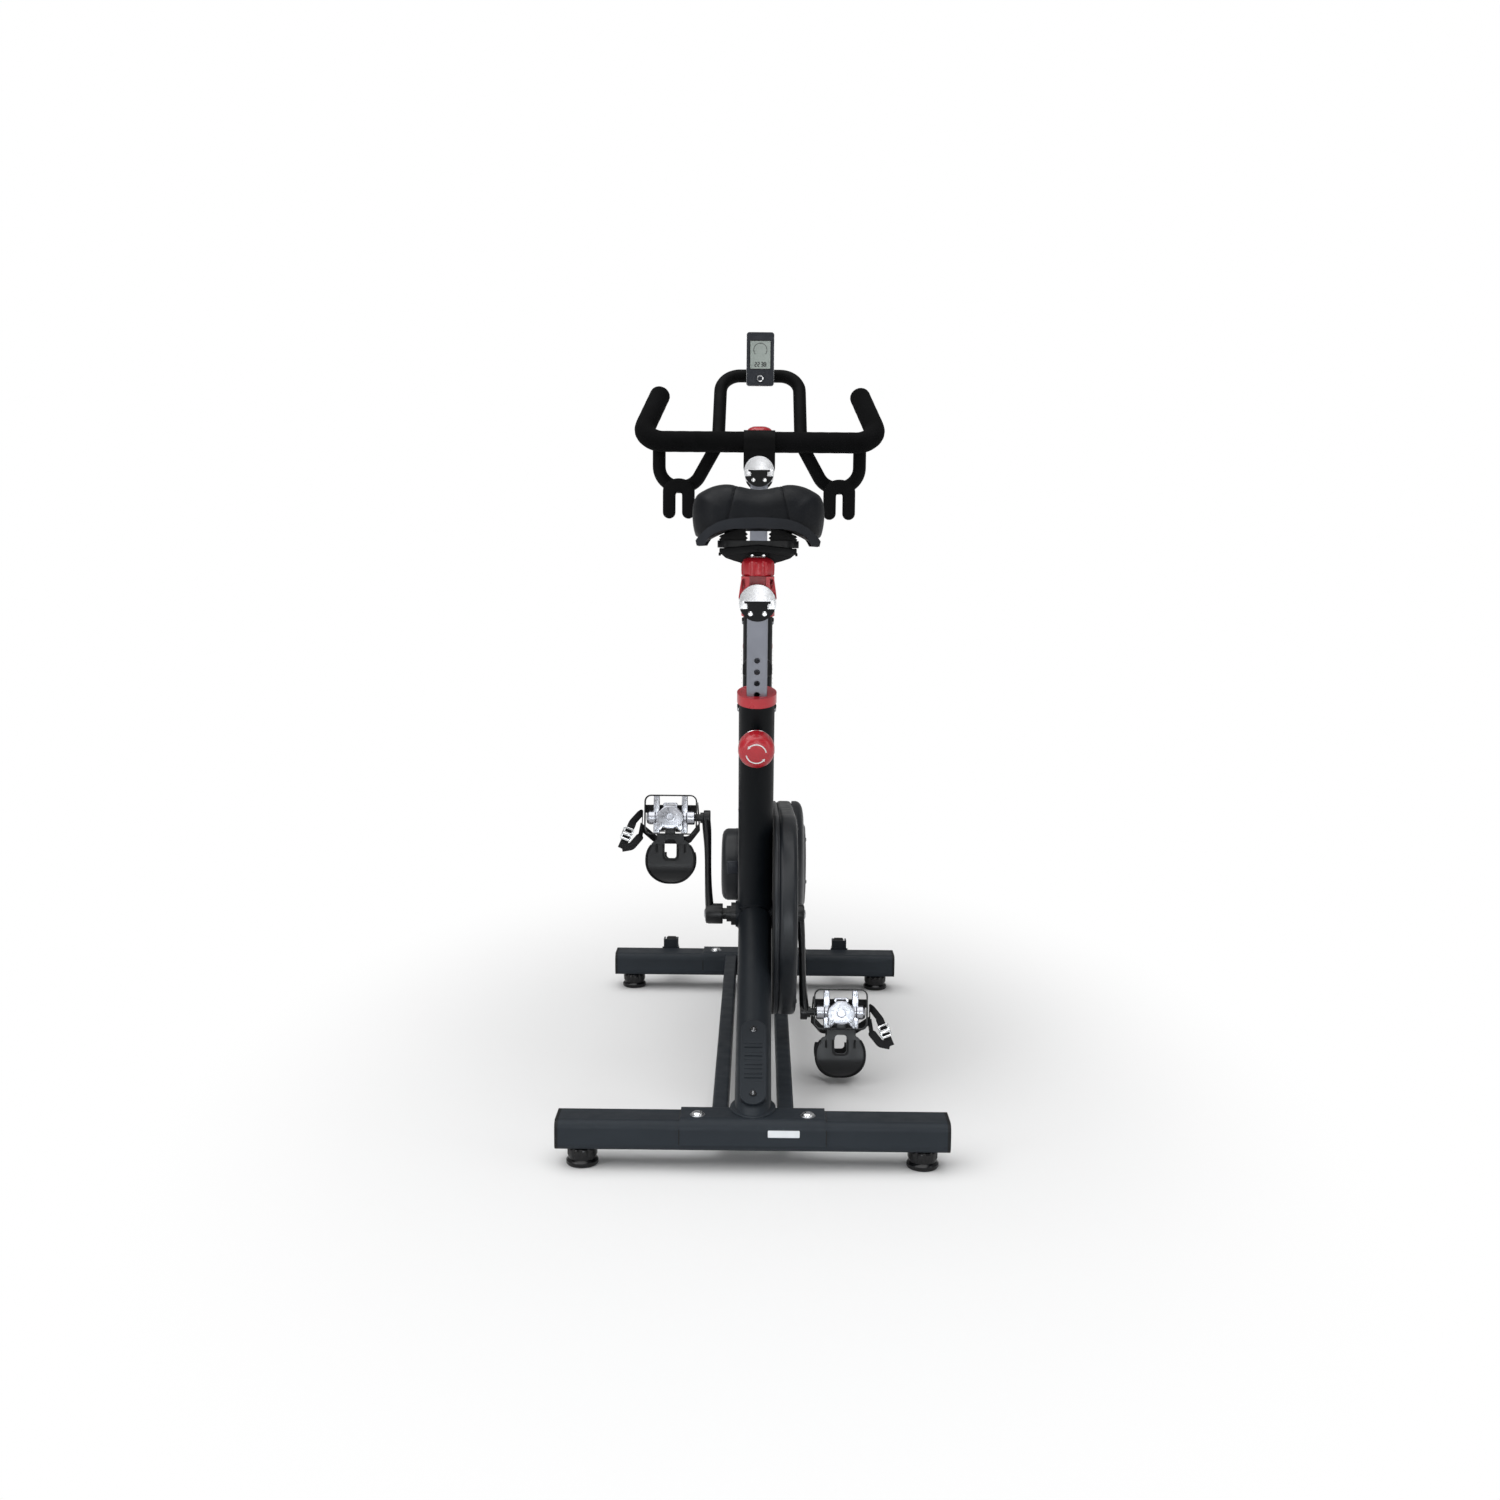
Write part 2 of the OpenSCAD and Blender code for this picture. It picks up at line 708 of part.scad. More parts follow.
module head_tube() {
    bottom = crown_z + crown_h;
    color(satin_black) along_head_tube() difference() {
        union() {
            translate([0, 0, bottom]) cylinder(d = head_tube_d, h = head_tube_len - bottom, $fn = 96);
            translate([0, 0, bar_pin_z]) bar_y(0, head_tube_d / 2 + pin_boss_out, pin_boss_d);
        }
        translate([0, 0, bottom + tube_floor])
            cylinder(d = head_bore, h = head_tube_len, $fn = 96);
        translate([0, 0, bar_pin_z]) bar_y(0, head_tube_d, pin_hole_d);
        translate([0, 0, head_tube_len - set_screw_down])
            bar_x(-head_tube_d, head_tube_d, set_screw_d + 0.1);
    }
}

// One fork leg: from the crown to the axle, then forward to the front bracket
module fork_leg_outline() {
    reach = [y_front - stab_d / 2 - bracket_t - axle_y, stab_top - rail_h / 2 - axle_z];
    half = fork_leg_w / 2;
    side = half * unit([-reach[1], reach[0]]);
    tip = reach + 60 * unit(reach);
    rotate(head_lean) translate([-half, 0]) square([fork_leg_w, crown_z + crown_h]);
    circle(r = half + 1);
    polygon([side, tip + side, tip - side, -side]);
}

module fork() {
    color(satin_black) difference() {
        union() {
            for (side = [LEFT, RIGHT])
                translate([side > 0 ? fork_gap : -fork_out, axle_y, axle_z])
                    rotate([90, 0, 90]) linear_extrude(fork_leg_t) fork_leg_outline();
            along_head_tube() translate([-fork_gap - 1, -fork_leg_w / 2 + 1, crown_z])
                cube([2 * fork_gap + 2, fork_leg_w - 2, crown_h]);
        }
        at_axle() bar_x(-2 * fork_out, 2 * fork_out, bearing_d);
        translate([-stab_w / 2, y_front - stab_d / 2 - bracket_t, -axle_z])
            cube([stab_w, stab_pitch, 2 * axle_z - 120]);
        translate([-stab_w / 2, axle_y, -axle_z])
            cube([stab_w, stab_pitch, axle_z + stab_top - rail_h]);
    }
}

module post_sleeve(tube_d, gap_w, gap_d, pin_at, pin_dir) {
    difference() {
        union() {
            translate([0, 0, -sleeve_len])
                cylinder(d = tube_d - 2 * tube_wall - 2 * seat_gap, h = sleeve_len + 1);
            cylinder(d = collar_d, h = collar_h);
        }
        translate([0, 0, -sleeve_len - 1]) linear_extrude(sleeve_len + collar_h + 2)
            round_rect(gap_w, gap_d, post_r + slide_gap);
        translate([0, 0, pin_at]) bar_y(0, pin_dir * tube_d, pin_shaft_d + 1);
    }
}

module tube_collars() {
    gap_w = post_w + 2 * slide_gap;
    gap_d = post_d + 2 * slide_gap;
    color(signal_red) {
        along_seat_tube() translate([0, 0, seat_tube_len])
            post_sleeve(seat_tube_d, gap_w, gap_d, -pin_down, REAR);
        along_head_tube() translate([0, 0, head_tube_len])
            post_sleeve(head_tube_d, gap_w, gap_d, -bar_pin_down, FRONT);
    }
}

// ---------- belt drive ----------

module guard_outline(inset = 0) {
    belt_outline(guard_r - inset, guard_front_r - inset, drive_dist);
}

module belt_guard() {
    color(satin_black) difference() {
        drive_plate(guard_in + plate_t, guard_x - guard_in - plate_t) guard_outline();
        drive_plate(guard_in, guard_x - guard_in - guard_wall) guard_outline(guard_wall);
        at_cranks() bar_x(0, 2 * guard_x, boss_hole_d);
    }
}

module belt_guard_backplate() {
    color(satin_black) difference() {
        drive_plate(guard_in, plate_t) guard_outline();
        at_cranks() bar_x(0, guard_x, bb_shell_d + 2 * seat_gap);
        at_axle() bar_x(0, guard_x, bearing_d + 4);
    }
}

module axle_cover(x_in, x_out, step_x, step_r) {
    r = axle_cover_d / 2;
    t = guard_wall;
    rotate([0, 90, 0]) rotate_extrude($fn = 96) polygon([
        [step_r, x_in], [step_r, step_x], [r, step_x], [r, x_out - 10], [r - 10, x_out],
        [0, x_out], [0, x_out - t], [r - 10 - t / 2, x_out - t],
        [r - t, x_out - 10 - t / 2], [r - t, step_x - t], [r - t, x_in]
    ]);
}

module axle_covers() {
    color(dull_black) at_axle() {
        axle_cover(guard_x, right_cover_out, guard_x + 2, axle_cover_d / 2 + 3);
        mirror([1, 0, 0]) axle_cover(fork_out, left_cover_out, left_step_x, guard_front_r);
    }
}

module drive_belt() {
    r1 = pulley_d / 2 + slide_gap;
    r2 = small_pulley_d / 2 + slide_gap;
    color(dull_black) drive_plate(belt_x - belt_w / 2, belt_w) difference() {
        belt_outline(r1 + belt_t, r2 + belt_t, drive_dist);
        belt_outline(r1, r2, drive_dist);
    }
}

module bearings() {
    color(steel) {
        for (side = [LEFT, RIGHT]) {
            at_cranks() difference() {
                union() {
                    bar_x(side * (bb_shell_w / 2 - bb_cup_in), side * bb_shell_w / 2,
                        bb_cup_d - 2 * seat_gap);
                    bar_x(side * bb_shell_w / 2, side * (bb_shell_w / 2 + bb_cup_out), bb_cup_d);
                }
                bar_x(-bb_shell_w, bb_shell_w, spindle_d + 2 * fit_gap);
            }
            at_axle() difference() {
                bar_x(side * fork_gap, side * fork_out, bearing_d - 2 * seat_gap);
                bar_x(-2 * fork_out, 2 * fork_out, axle_d + 2 * fit_gap);
            }
        }
    }
}

module crank_spindle() {
    color(steel) at_cranks() {
        bar_x(-arm_boss_in - 22, arm_out - 10, spindle_d);
        bar_x(-shoulder_in, -shoulder_in - shoulder_t, shoulder_d);
        bar_x(shoulder_in, pulley_in - slide_gap, shoulder_d);
    }
}

module belt_seat(d) {
    bar_x(pulley_side, pulley_side + pulley_w, d);
    for (x = [pulley_in, pulley_side + pulley_w]) bar_x(x, x + flange_t, d + 6);
}

module drive_pulley() {
    color(dull_black) at_cranks() difference() {
        union() {
            difference() {
                belt_seat(pulley_d);
                bar_x(pulley_side + pulley_web_t, guard_x, pulley_d - 24);
                for (k = [0 : 4]) rotate([72 * k, 0, 0]) translate([0, 0, pulley_d / 4 + 8])
                    bar_x(0, guard_x, pulley_d / 5);
            }
            bar_x(pulley_in, pulley_side + pulley_w, spindle_d + 16);
        }
        bar_x(0, guard_x, spindle_d);
    }
}

module crank_arm(side) {
    pedal = side == LEFT ? left_pedal : right_pedal;
    in_x = side == LEFT ? arm_boss_in : belt_x + belt_w / 2 + 4;
    reach = [0, pedal[1] - bb_y, pedal[2] - bb_z];
    color(satin_black) at_cranks() difference() {
        union() {
            bar_x(side * in_x, side * (arm_out - 4), boss_d);
            hull() {
                bar_x(side * (arm_out - arm_t - 5), side * (arm_out - 5), boss_d - 4, $fn = 32);
                translate(reach)
                    bar_x(side * (arm_out - arm_t + 3), side * (arm_out + 2), arm_end_d - 3, $fn = 32);
            }
            translate(reach) bar_x(side * (arm_out - arm_t + 2), side * (arm_out + 3), arm_end_d);
        }
        bar_x(-2 * arm_out, 2 * arm_out, spindle_d);
        translate(reach) bar_x(-2 * arm_out, 2 * arm_out, pedal_axle_d);
    }
}

module pedal_axles() {
    color(steel) for (side = [LEFT, RIGHT])
        translate(side == LEFT ? left_pedal : right_pedal) {
            bar_x(side * (arm_out - arm_t + 4), side * (pedal_x + 38), pedal_axle_d);
            bar_x(side * (arm_out + 3), side * (arm_out + 9), pedal_axle_d + 6);
        }
}

// Pedal pieces are drawn hanging: outboard is +X, the toe end is down
module pedal_body(side) {
    color(bright_silver) at_pedal(side) difference() {
        union() {
            bar_x(-cage_w / 2 + 4, cage_w / 2 - 4, 25);
            translate([-28, -9, -cage_h / 2 + cage_up + 4]) cube([56, 16, cage_h - 8]);
            translate([-17, -15, -22]) cube([34, 8, 14]);
            translate([-17, -15, 10]) cube([34, 8, 12]);
        }
        bar_x(-cage_w, cage_w / 2 - 8, pedal_axle_d + 2 * fit_gap);
        for (s = [-1, 1]) translate([s * 19 - 5, -10, 14]) cube([10, 18, 12]);
    }
}

module pedal_cage(side) {
    color(dull_black) at_pedal(side) difference() {
        translate([0, 5, cage_up]) rotate([90, 0, 0]) linear_extrude(12) difference() {
            round_rect(cage_w, cage_h, 10);
            round_rect(cage_w - 7, cage_h - 7.4, 7);
        }
        bar_x(-cage_w, 0, 26);
        bar_x(cage_w / 2 - 4, cage_w, 14);
    }
}

module toe_clip(side) {
    t = 3;
    y0 = 8;
    r = clip_depth / 2;
    top = -cage_h / 2 + cage_up - 0.3;
    bow_z = clip_bottom + r;
    color(dull_black) at_pedal(side) intersection() {
        translate([-clip_w / 2, 0, 0]) rotate([90, 0, 90]) linear_extrude(clip_w) difference() {
            union() {
                translate([y0 + r, bow_z]) circle(r = r);
                translate([y0, bow_z]) square([2 * r, top - bow_z - 14]);
                translate([y0 - 14, top - 17]) square([17, 3]);
                translate([y0 - 14, top - 17]) square([3, 17]);
            }
            translate([y0 + r, bow_z]) circle(r = r - t);
            translate([y0 + t, bow_z]) square([2 * r - 2 * t, 200]);
            translate([y0 + 2 * r - t - 1, -62]) square([10, 100]);
        }
        translate([0, 150, 0]) rotate([90, 0, 0]) linear_extrude(200) difference() {
            union() {
                translate([0, clip_bottom + 42]) round_rect(clip_w, 84, 40);
                translate([-24, clip_bottom + 60]) square([48, 60]);
            }
            translate([0, clip_bottom + 62]) round_rect(21, 34, 6);
        }
    }
}

function strap_path() = rounded_path([
    [-48.3, -5, 21], [-48.3, 8, 17], [-50, 42, -16], [-30, 79, -40], [30, 79, -40], [54, 40, -18],
    [50, 4, 12], [66, -12, -8], [82, -16, -48]
], 12, 4);

module toe_strap(side) {
    color(dull_black) at_pedal(side) {
        sweep(strap_path(), [[7, 1], [-7, 1], [-7, -1], [7, -1]], [0, 0, 1]);
        translate([76, -19, -34]) rotate([0, 18, 0]) cube([18, 2.4, 20], center = true);
    }
}

// ---------- flywheel and brake ----------

module flywheel() {
    r = flywheel_d / 2;
    w = flywheel_t / 2;
    v = flywheel_web_t / 2;
    h = fork_gap - 1;
    color(steel) at_axle() rotate([0, 90, 0]) rotate_extrude($fn = 160) polygon([
        [axle_d / 2, -h], [30, -h], [36, -v], [r - flywheel_rim - 8, -v], [r - flywheel_rim, -w],
        [r - 2, -w], [r, -w + 2], [r, w - 2], [r - 2, w], [r - flywheel_rim, w],
        [r - flywheel_rim - 8, v], [36, v], [30, h], [axle_d / 2, h]
    ]);
}

module flywheel_axle() {
    color(steel) at_axle() {
        bar_x(-fork_out - 14, pulley_side + pulley_w + 4, axle_d);
        bar_x(-fork_out - 1, -fork_out - 9, axle_d + 9);
        bar_x(fork_out + 6, pulley_side + 1, small_pulley_d - 8);
        belt_seat(small_pulley_d);
    }
}

// Round hand knob with shallow finger flutes, standing on z = 0
module hand_knob(d, h, flutes) {
    difference() {
        rotate_extrude() polygon([
            [0, 0], [d / 2 - 4, 0], [d / 2, 4], [d / 2, h * 0.62], [d / 2 - 4, h * 0.86],
            [d / 2 - 12, h], [0, h]
        ]);
        for (k = [0 : flutes - 1]) rotate(360 * k / flutes + 180 / flutes)
            translate([d / 2 + 6, 0, -1]) cylinder(d = 18, h = h + 2, $fn = 32);
    }
}

module resistance_knob() {
    color(dull_black) translate([0, brake_y, brake_boss_top + slide_gap]) {
        hand_knob(brake_knob_d, brake_knob_h, 6);
        translate([0, 0, carrier_top - brake_boss_top - 22])
            cylinder(d = brake_shaft_d, h = brake_boss_top - carrier_top + 24);
    }
}

module magnet_carrier() {
    in = flywheel_t / 2 + carrier_gap;
    color(dull_black) translate([0, brake_y, 0]) difference() {
        union() {
            for (s = [-1, 1])
                translate([s > 0 ? in : -in - carrier_t, -carrier_len / 2, carrier_bottom])
                    cube([carrier_t, carrier_len, carrier_top - carrier_bottom]);
            translate([-in - carrier_t, -carrier_len / 2, carrier_top - 10])
                cube([2 * (in + carrier_t), carrier_len, 10]);
            translate([0, 0, carrier_top - 10]) cylinder(d = 22, h = 26);
        }
        translate([0, 0, carrier_bottom]) cylinder(r = brake_shaft_d / 2 + fit_gap, h = 200);
    }
}

// ---------- sliding posts and rails ----------

module post_section() {
    difference() {
        round_rect(post_w, post_d, post_r);
        round_rect(post_w - 2 * post_wall, post_d - 2 * post_wall, 1);
    }
}

module post_holes(from, count, dir) {
    for (k = [0 : count - 1]) translate([0, 0, from + k * hole_pitch])
        bar_y(0, dir * post_d, hole_d);
}

// Part of a rail's round section that lies below its flat underside
module rail_belly(d) {
    difference() {
        circle(d = d, $fn = 96);
        translate([-d, -slot_flat]) square([2 * d, 2 * d]);
    }
}

module rail_section() {
    difference() {
        circle(d = rail_d, $fn = 96);
        translate([-rail_d, -slot_flat - rail_d]) square([2 * rail_d, rail_d]);
        translate([-14.5, -slot_flat - 1]) square([29, slot_flat - 2]);
        translate([-20, -slot_flat + 8]) square([40, 6]);
        translate([0, 14]) circle(d = 16);
    }
}

module along_rail(y0, z, len) {
    translate([0, y0 + len, z]) rotate([90, 0, 0]) linear_extrude(len) children();
}

module rail_cap(y0, z, t) {
    along_rail(y0, z, t) union() {
        rail_belly(rail_d);
        translate([-14.5, -slot_flat - 1]) square([29, slot_flat - 2]);
        translate([-20, -slot_flat + 8]) square([40, 6]);
    }
}

module rail_caps(y0, z, len) {
    t = 8;
    for (y = [y0 - 1, y0 + len - t + 1]) rail_cap(y, z, t);
    for (s = [-1, 1]) {
        translate([s * 11, 0, z - 17]) bar_y(y0 - 2.4, y0 - 1, 7);
        translate([s * 11, 0, z - 17]) bar_y(y0 + len + 1, y0 + len + 2.4, 7);
    }
}

module post_head(y, z, len) {
    along_rail(y - len / 2, z, len) rail_belly(rail_d - 2);
}

module seat_post() {
    low = pin_z - 6 * hole_pitch - 30;
    color(bright_silver) {
        difference() {
            along_seat_tube() difference() {
                translate([0, 0, low]) linear_extrude(seat_head_z - low + 60) post_section();
                post_holes(pin_z - 6 * hole_pitch, 14, REAR);
            }
            translate([-200, rail_post_y - 200, rail_z - slot_flat - 6]) cube([400, 400, 400]);
        }
        post_head(rail_post_y - 4, rail_z, 90);
    }
}

module seat_rail() {
    color(bright_silver) along_rail(seat_rail_back, rail_z, seat_rail_len) rail_section();
}

module seat_rail_caps() {
    color(dull_black) rail_caps(seat_rail_back, rail_z, seat_rail_len);
}

module pull_pin(tube_d) {
    // Drawn along +Z from the post's face outward
    tip = slide_gap;
    face = tube_d / 2 - post_d / 2 + pin_boss_out;
    translate([0, 0, tip]) cylinder(d = pin_shaft_d, h = face + 8);
    translate([0, 0, face + 1]) cylinder(d = 22, h = 9);
    translate([0, 0, face + 8]) hand_knob(pin_knob_d, pin_knob_h, 8);
}

module seat_pin() {
    color(signal_red) along_seat_tube() translate([0, -post_d / 2, pin_z]) rotate([90, 0, 0])
        pull_pin(seat_tube_d);
}

module handlebar_pin() {
    color(signal_red) along_head_tube() translate([0, post_d / 2, bar_pin_z]) rotate([-90, 0, 0])
        pull_pin(head_tube_d);
}

// ---------- saddle ----------

module sled(y0, z, w, len, top) {
    difference() {
        translate([-w / 2, y0, z + rail_d / 2 - 17]) cube([w, len, top - rail_d / 2 + 17]);
        translate([0, 0, z]) bar_y(y0 - 1, y0 + len + 1, rail_d + 2 * slide_gap, $fn = 96);
    }
}

module saddle_carriage() {
    y0 = saddle_y - 72;
    color(signal_red) difference() {
        union() {
            sled(y0, rail_z, sled_w, sled_len, sled_top);
            translate([0, clamp_y, rail_z + rail_d / 2 + 2])
                cylinder(d = 40, h = clamp_z - rail_z - rail_d / 2 - 2);
        }
        translate([-13, y0 - 1, rail_z]) cube([26, 16, 100]);
        translate([0, saddle_knob_y, rail_z]) cylinder(d = lock_shaft_d + 2 * fit_gap, h = 100);
    }
}

module saddle_lock_knob() {
    color(signal_red) translate([0, saddle_knob_y, rail_z + sled_top + slide_gap]) {
        hand_knob(lock_knob_d, lock_knob_h, 9);
        translate([0, 0, -10]) cylinder(d = lock_shaft_d, h = 12);
    }
}

module saddle_bracket() {
    plate_z = clamp_z + clamp_h;
    color(dull_black) {
        translate([-clamp_w / 2, clamp_y - clamp_len / 2, clamp_z])
            cube([clamp_w, clamp_len, clamp_h]);
        translate([0, clamp_y, plate_z]) linear_extrude(plate_h) round_rect(plate_w, plate_len, 20);
        intersection() {
            for (s = [-1, 1], y = [-34, 34])
                translate([s * 42, clamp_y + y, plate_z + 1]) cylinder(d = 24, h = pan_r);
            translate([0, 0, pan_centre_z])
                bar_y(saddle_back, saddle_back + saddle_len, 2 * (pan_r - tuck), $fn = 128);
        }
    }
}

// Plan of the saddle, nose forward
module saddle_plan(inset = 0) {
    r = saddle_w / 4 - inset;
    hull() {
        for (s = [-1, 1]) translate([s * (saddle_w / 4), saddle_back + saddle_w / 4])
            circle(r = r, $fn = 48);
        translate([0, saddle_back + saddle_len - 28]) circle(r = 28 - inset, $fn = 32);
        for (s = [-1, 1]) translate([s * (saddle_w / 4), saddle_back + saddle_w / 4 + 40])
            circle(r = r - 6, $fn = 48);
    }
}

module saddle_pan() {
    color(dull_black) intersection() {
        translate([0, 0, pan_edge_z - 20]) linear_extrude(120) saddle_plan(3);
        difference() {
            translate([0, 0, pan_centre_z])
                bar_y(saddle_back, saddle_back + saddle_len, 2 * (pan_r + pan_t), $fn = 128);
            translate([0, 0, pan_centre_z])
                bar_y(saddle_back - 1, saddle_back + saddle_len + 1, 2 * pan_r, $fn = 128);
        }
    }
}

module saddle_pad() {
    r = 26;
    seat_arch_r = pan_r + pan_t + slide_gap;
    top = saddle_top - r;
    color(leather_black) difference() {
        hull() {
            for (s = [-1, 1]) {
                translate([s * (saddle_w / 4), saddle_back + saddle_w / 4, pan_edge_z + 6])
                    cylinder(r = saddle_w / 4, h = 54, $fn = 40);
                translate([s * (saddle_w / 4 - 6), saddle_back + saddle_w / 4 + 4, top])
                    sphere(r = r, $fn = 32);
                translate([s * (saddle_w / 4), saddle_back + saddle_w / 4 + 40, pan_edge_z + 8])
                    cylinder(r = saddle_w / 4 - 6, h = 44, $fn = 40);
            }
            translate([0, saddle_back + saddle_len - 28, pan_edge_z + 30])
                cylinder(r = 28, h = 40, $fn = 40);
            translate([0, saddle_back + saddle_len - 34, top - 10]) sphere(r = r, $fn = 32);
        }
        translate([0, 0, pan_centre_z])
            bar_y(saddle_back - 1, saddle_back + saddle_len + 1, 2 * seat_arch_r, $fn = 128);
    }
}

// ---------- handlebar ----------

module handlebar_post() {
    low = bar_pin_z - 4 * hole_pitch - 30;
    color(bright_silver) {
        difference() {
            along_head_tube() difference() {
                translate([0, 0, low]) linear_extrude(bar_head_z - low + 60) post_section();
                post_holes(bar_pin_z - 4 * hole_pitch, 11, FRONT);
            }
            translate([-200, bar_rail_post_y - 200, bar_rail_z - slot_flat - 6])
                cube([400, 400, 400]);
        }
        post_head(bar_rail_post_y + 6, bar_rail_z, 60);
    }
}

module handlebar_rail() {
    color(bright_silver) along_rail(bar_rail_back, bar_rail_z, bar_rail_len) rail_section();
}

module handlebar_rail_caps() {
    color(dull_black) rail_caps(bar_rail_back, bar_rail_z, bar_rail_len);
}

module handlebar_carriage() {
    from = bar_rail_z + bar_sled_top - 6;
    color(dull_black) difference() {
        union() {
            sled(carriage_back, bar_rail_z, carriage_w, carriage_len, bar_sled_top);
            translate([0, bar_y, bar_z]) bar_x(-carriage_w / 2, carriage_w / 2, bar_clamp_d);
            translate([-carriage_w / 2, bar_y - bar_clamp_d / 2 + tuck, from])
                cube([carriage_w, bar_clamp_d - 2 * tuck, bar_z - from]);
            translate([0, bar_knob_y, from]) cylinder(d = 44, h = bar_column_h + 6);
        }
        translate([0, bar_y, bar_z]) bar_x(-carriage_w, carriage_w, bar_tube_d + 2 * seat_gap);
        translate([0, bar_knob_y, bar_rail_z]) cylinder(d = lock_shaft_d + 2 * fit_gap, h = 200);
        translate([0, 0, bar_rail_z])
            bar_y(carriage_back - 1, carriage_back + 2 * carriage_len, rail_d + 2 * slide_gap, $fn = 96);
    }
}

module handlebar_lock_knob() {
    drop = bar_column_h - 2;
    base = bar_rail_z + bar_sled_top + bar_column_h + slide_gap;
    color(signal_red) translate([0, bar_knob_y, base]) {
        hand_knob(lock_knob_d, lock_knob_h, 9);
        translate([0, 0, -drop]) cylinder(d = lock_shaft_d, h = drop + 2);
    }
}

function grip_path() =
    let (c = bar_w / 2, tip = [c - horn_in, bar_y + horn_reach, bar_z + horn_rise])
    rounded_path([[-tip[0], tip[1], tip[2]], [-c, bar_y, bar_z], [c, bar_y, bar_z], tip], bend_r);

function horn_half(side) = let (p = grip_path(), n = len(p) / 2)
    concat([[side * carriage_w / 2 + side * 0.5, bar_y, bar_z]],
        [for (i = [0 : n - 1]) let (q = p[len(p) - n + i]) [side * q[0], q[1], q[2]]]);

// Half of the bent tube: arch, upright, then the low hook back up to the crossbar
function loop_half(side) = let (top_y = bar_y + loop_reach)
    rounded_path([
        [0, top_y, loop_top], [side * loop_x, top_y, loop_top], [side * (loop_x + 4), loop_y, bar_z],
        [side * (loop_x + 60), hook_y, hook_z], [side * (hook_x - 20), hook_y, hook_z],
        [side * hook_x, hook_y, bar_z - 42], [side * hook_x, hook_y, bar_z + 5]
    ], 20, 5);

// Pegs that weld the bent tubes to the crossbar
module loop_pegs(d) {
    for (side = [LEFT, RIGHT], x = [loop_x + 4, hook_x])
        translate([side * x, 0, bar_z - 2]) bar_y(bar_y, loop_y, d);
}

module handlebar_tubes() {
    ring = ring_section(bar_tube_d, 20);
    both = concat([for (i = [len(loop_half(LEFT)) - 1 : -1 : 1]) loop_half(LEFT)[i]],
        [for (i = [1 : len(loop_half(RIGHT)) - 1]) loop_half(RIGHT)[i]]);
    color(dull_black) {
        sweep(grip_path(), ring, [0, 1, 0.2]);
        sweep(both, ring, [0, 1, 0.2]);
        loop_pegs(peg_d);
    }
}

module handlebar_grips() {
    color(dull_black) difference() {
        for (side = [LEFT, RIGHT])
            sweep_sleeve(horn_half(side), grip_d, bar_tube_d + 0.6, 24, [0, 1, 0.2]);
        loop_pegs(peg_d + 2 * slide_gap);
    }
}

module accessory_holders() {
    color(dull_black) for (side = [LEFT, RIGHT])
        translate([side * holder_x, hook_y - bar_tube_d / 2 - slide_gap, hook_z + 15])
            rotate([90, 0, 0]) linear_extrude(holder_t) difference() {
                translate([0, -holder_h / 2]) round_rect(holder_w, holder_h, 10);
                translate([0, holder_slot_top - holder_slot / 2 - holder_h])
                    circle(d = holder_slot);
                translate([-holder_slot / 2, -holder_h - 1])
                    square([holder_slot, holder_slot_top - holder_slot / 2 + 1]);
            }
}

// ---------- console ----------

module at_console() { translate([0, console_y, console_z]) children(); }

module console_case() {
    clamp_r = bar_tube_d / 2 + slide_gap;
    color(dull_black) difference() {
        union() {
            at_console() rotate([90, 0, 0]) linear_extrude(console_t, center = true)
                round_rect(console_w, console_h, 6);
            translate([0, bar_y + loop_reach, loop_top]) bar_x(-14, 14, 2 * clamp_r + 8);
            translate([-14, console_y, loop_top - 10])
                cube([28, bar_y + loop_reach - console_y, 20]);
        }
        translate([0, bar_y + loop_reach, loop_top]) bar_x(-30, 30, 2 * clamp_r);
        at_console() translate([-screen_w / 2, -console_t / 2 - 1, -screen_h / 2 + 8])
            cube([screen_w, 3.6, screen_h]);
        at_console() translate([0, 0, -38]) bar_y(-console_t, -2, button_d + 0.6);
    }
}

module console_screen() {
    color([0.62, 0.68, 0.62]) at_console()
        translate([-screen_w / 2 + 0.1, -console_t / 2 + 0.4, -screen_h / 2 + 8.1])
            cube([screen_w - 0.2, 2.2, screen_h - 0.2]);
}

module console_button() {
    color(bright_silver) at_console() translate([0, 0, -38])
        bar_y(-console_t / 2 - 1.6, -3.2, button_d);
}

stabilizers();
stabilizer_caps();
base_frame();
frame_bolts();
seat_tube();
main_beam();
head_tube();
fork();
wheel_brackets();
access_cover();
tube_collars();
belt_guard();
belt_guard_backplate();
drive_belt();
bearings();
axle_covers();
foot(LEFT, y_rear);  // foot_rear_left
foot(RIGHT, y_rear);  // foot_rear_right
foot(LEFT, y_front);  // foot_front_left
foot(RIGHT, y_front);  // foot_front_right
wheel(LEFT);  // left_wheel
wheel(RIGHT);  // right_wheel
crank_spindle();
drive_pulley();
crank_arm(LEFT);  // left_crank_arm
crank_arm(RIGHT);  // right_crank_arm
pedal_axles();
pedal_body(LEFT);  // left_pedal_body
pedal_cage(LEFT);  // left_pedal_cage
toe_clip(LEFT);  // left_toe_clip
toe_strap(LEFT);  // left_toe_strap
pedal_body(RIGHT);  // right_pedal_body
pedal_cage(RIGHT);  // right_pedal_cage
toe_clip(RIGHT);  // right_toe_clip
toe_strap(RIGHT);  // right_toe_strap
flywheel();
flywheel_axle();
resistance_knob();
magnet_carrier();
seat_post();
seat_rail();
seat_rail_caps();
saddle_carriage();
saddle_bracket();
saddle_pan();
saddle_pad();
saddle_lock_knob();
seat_pin();
handlebar_post();
handlebar_rail();
handlebar_rail_caps();
handlebar_carriage();
handlebar_tubes();
handlebar_grips();
accessory_holders();
console_case();
console_screen();
console_button();
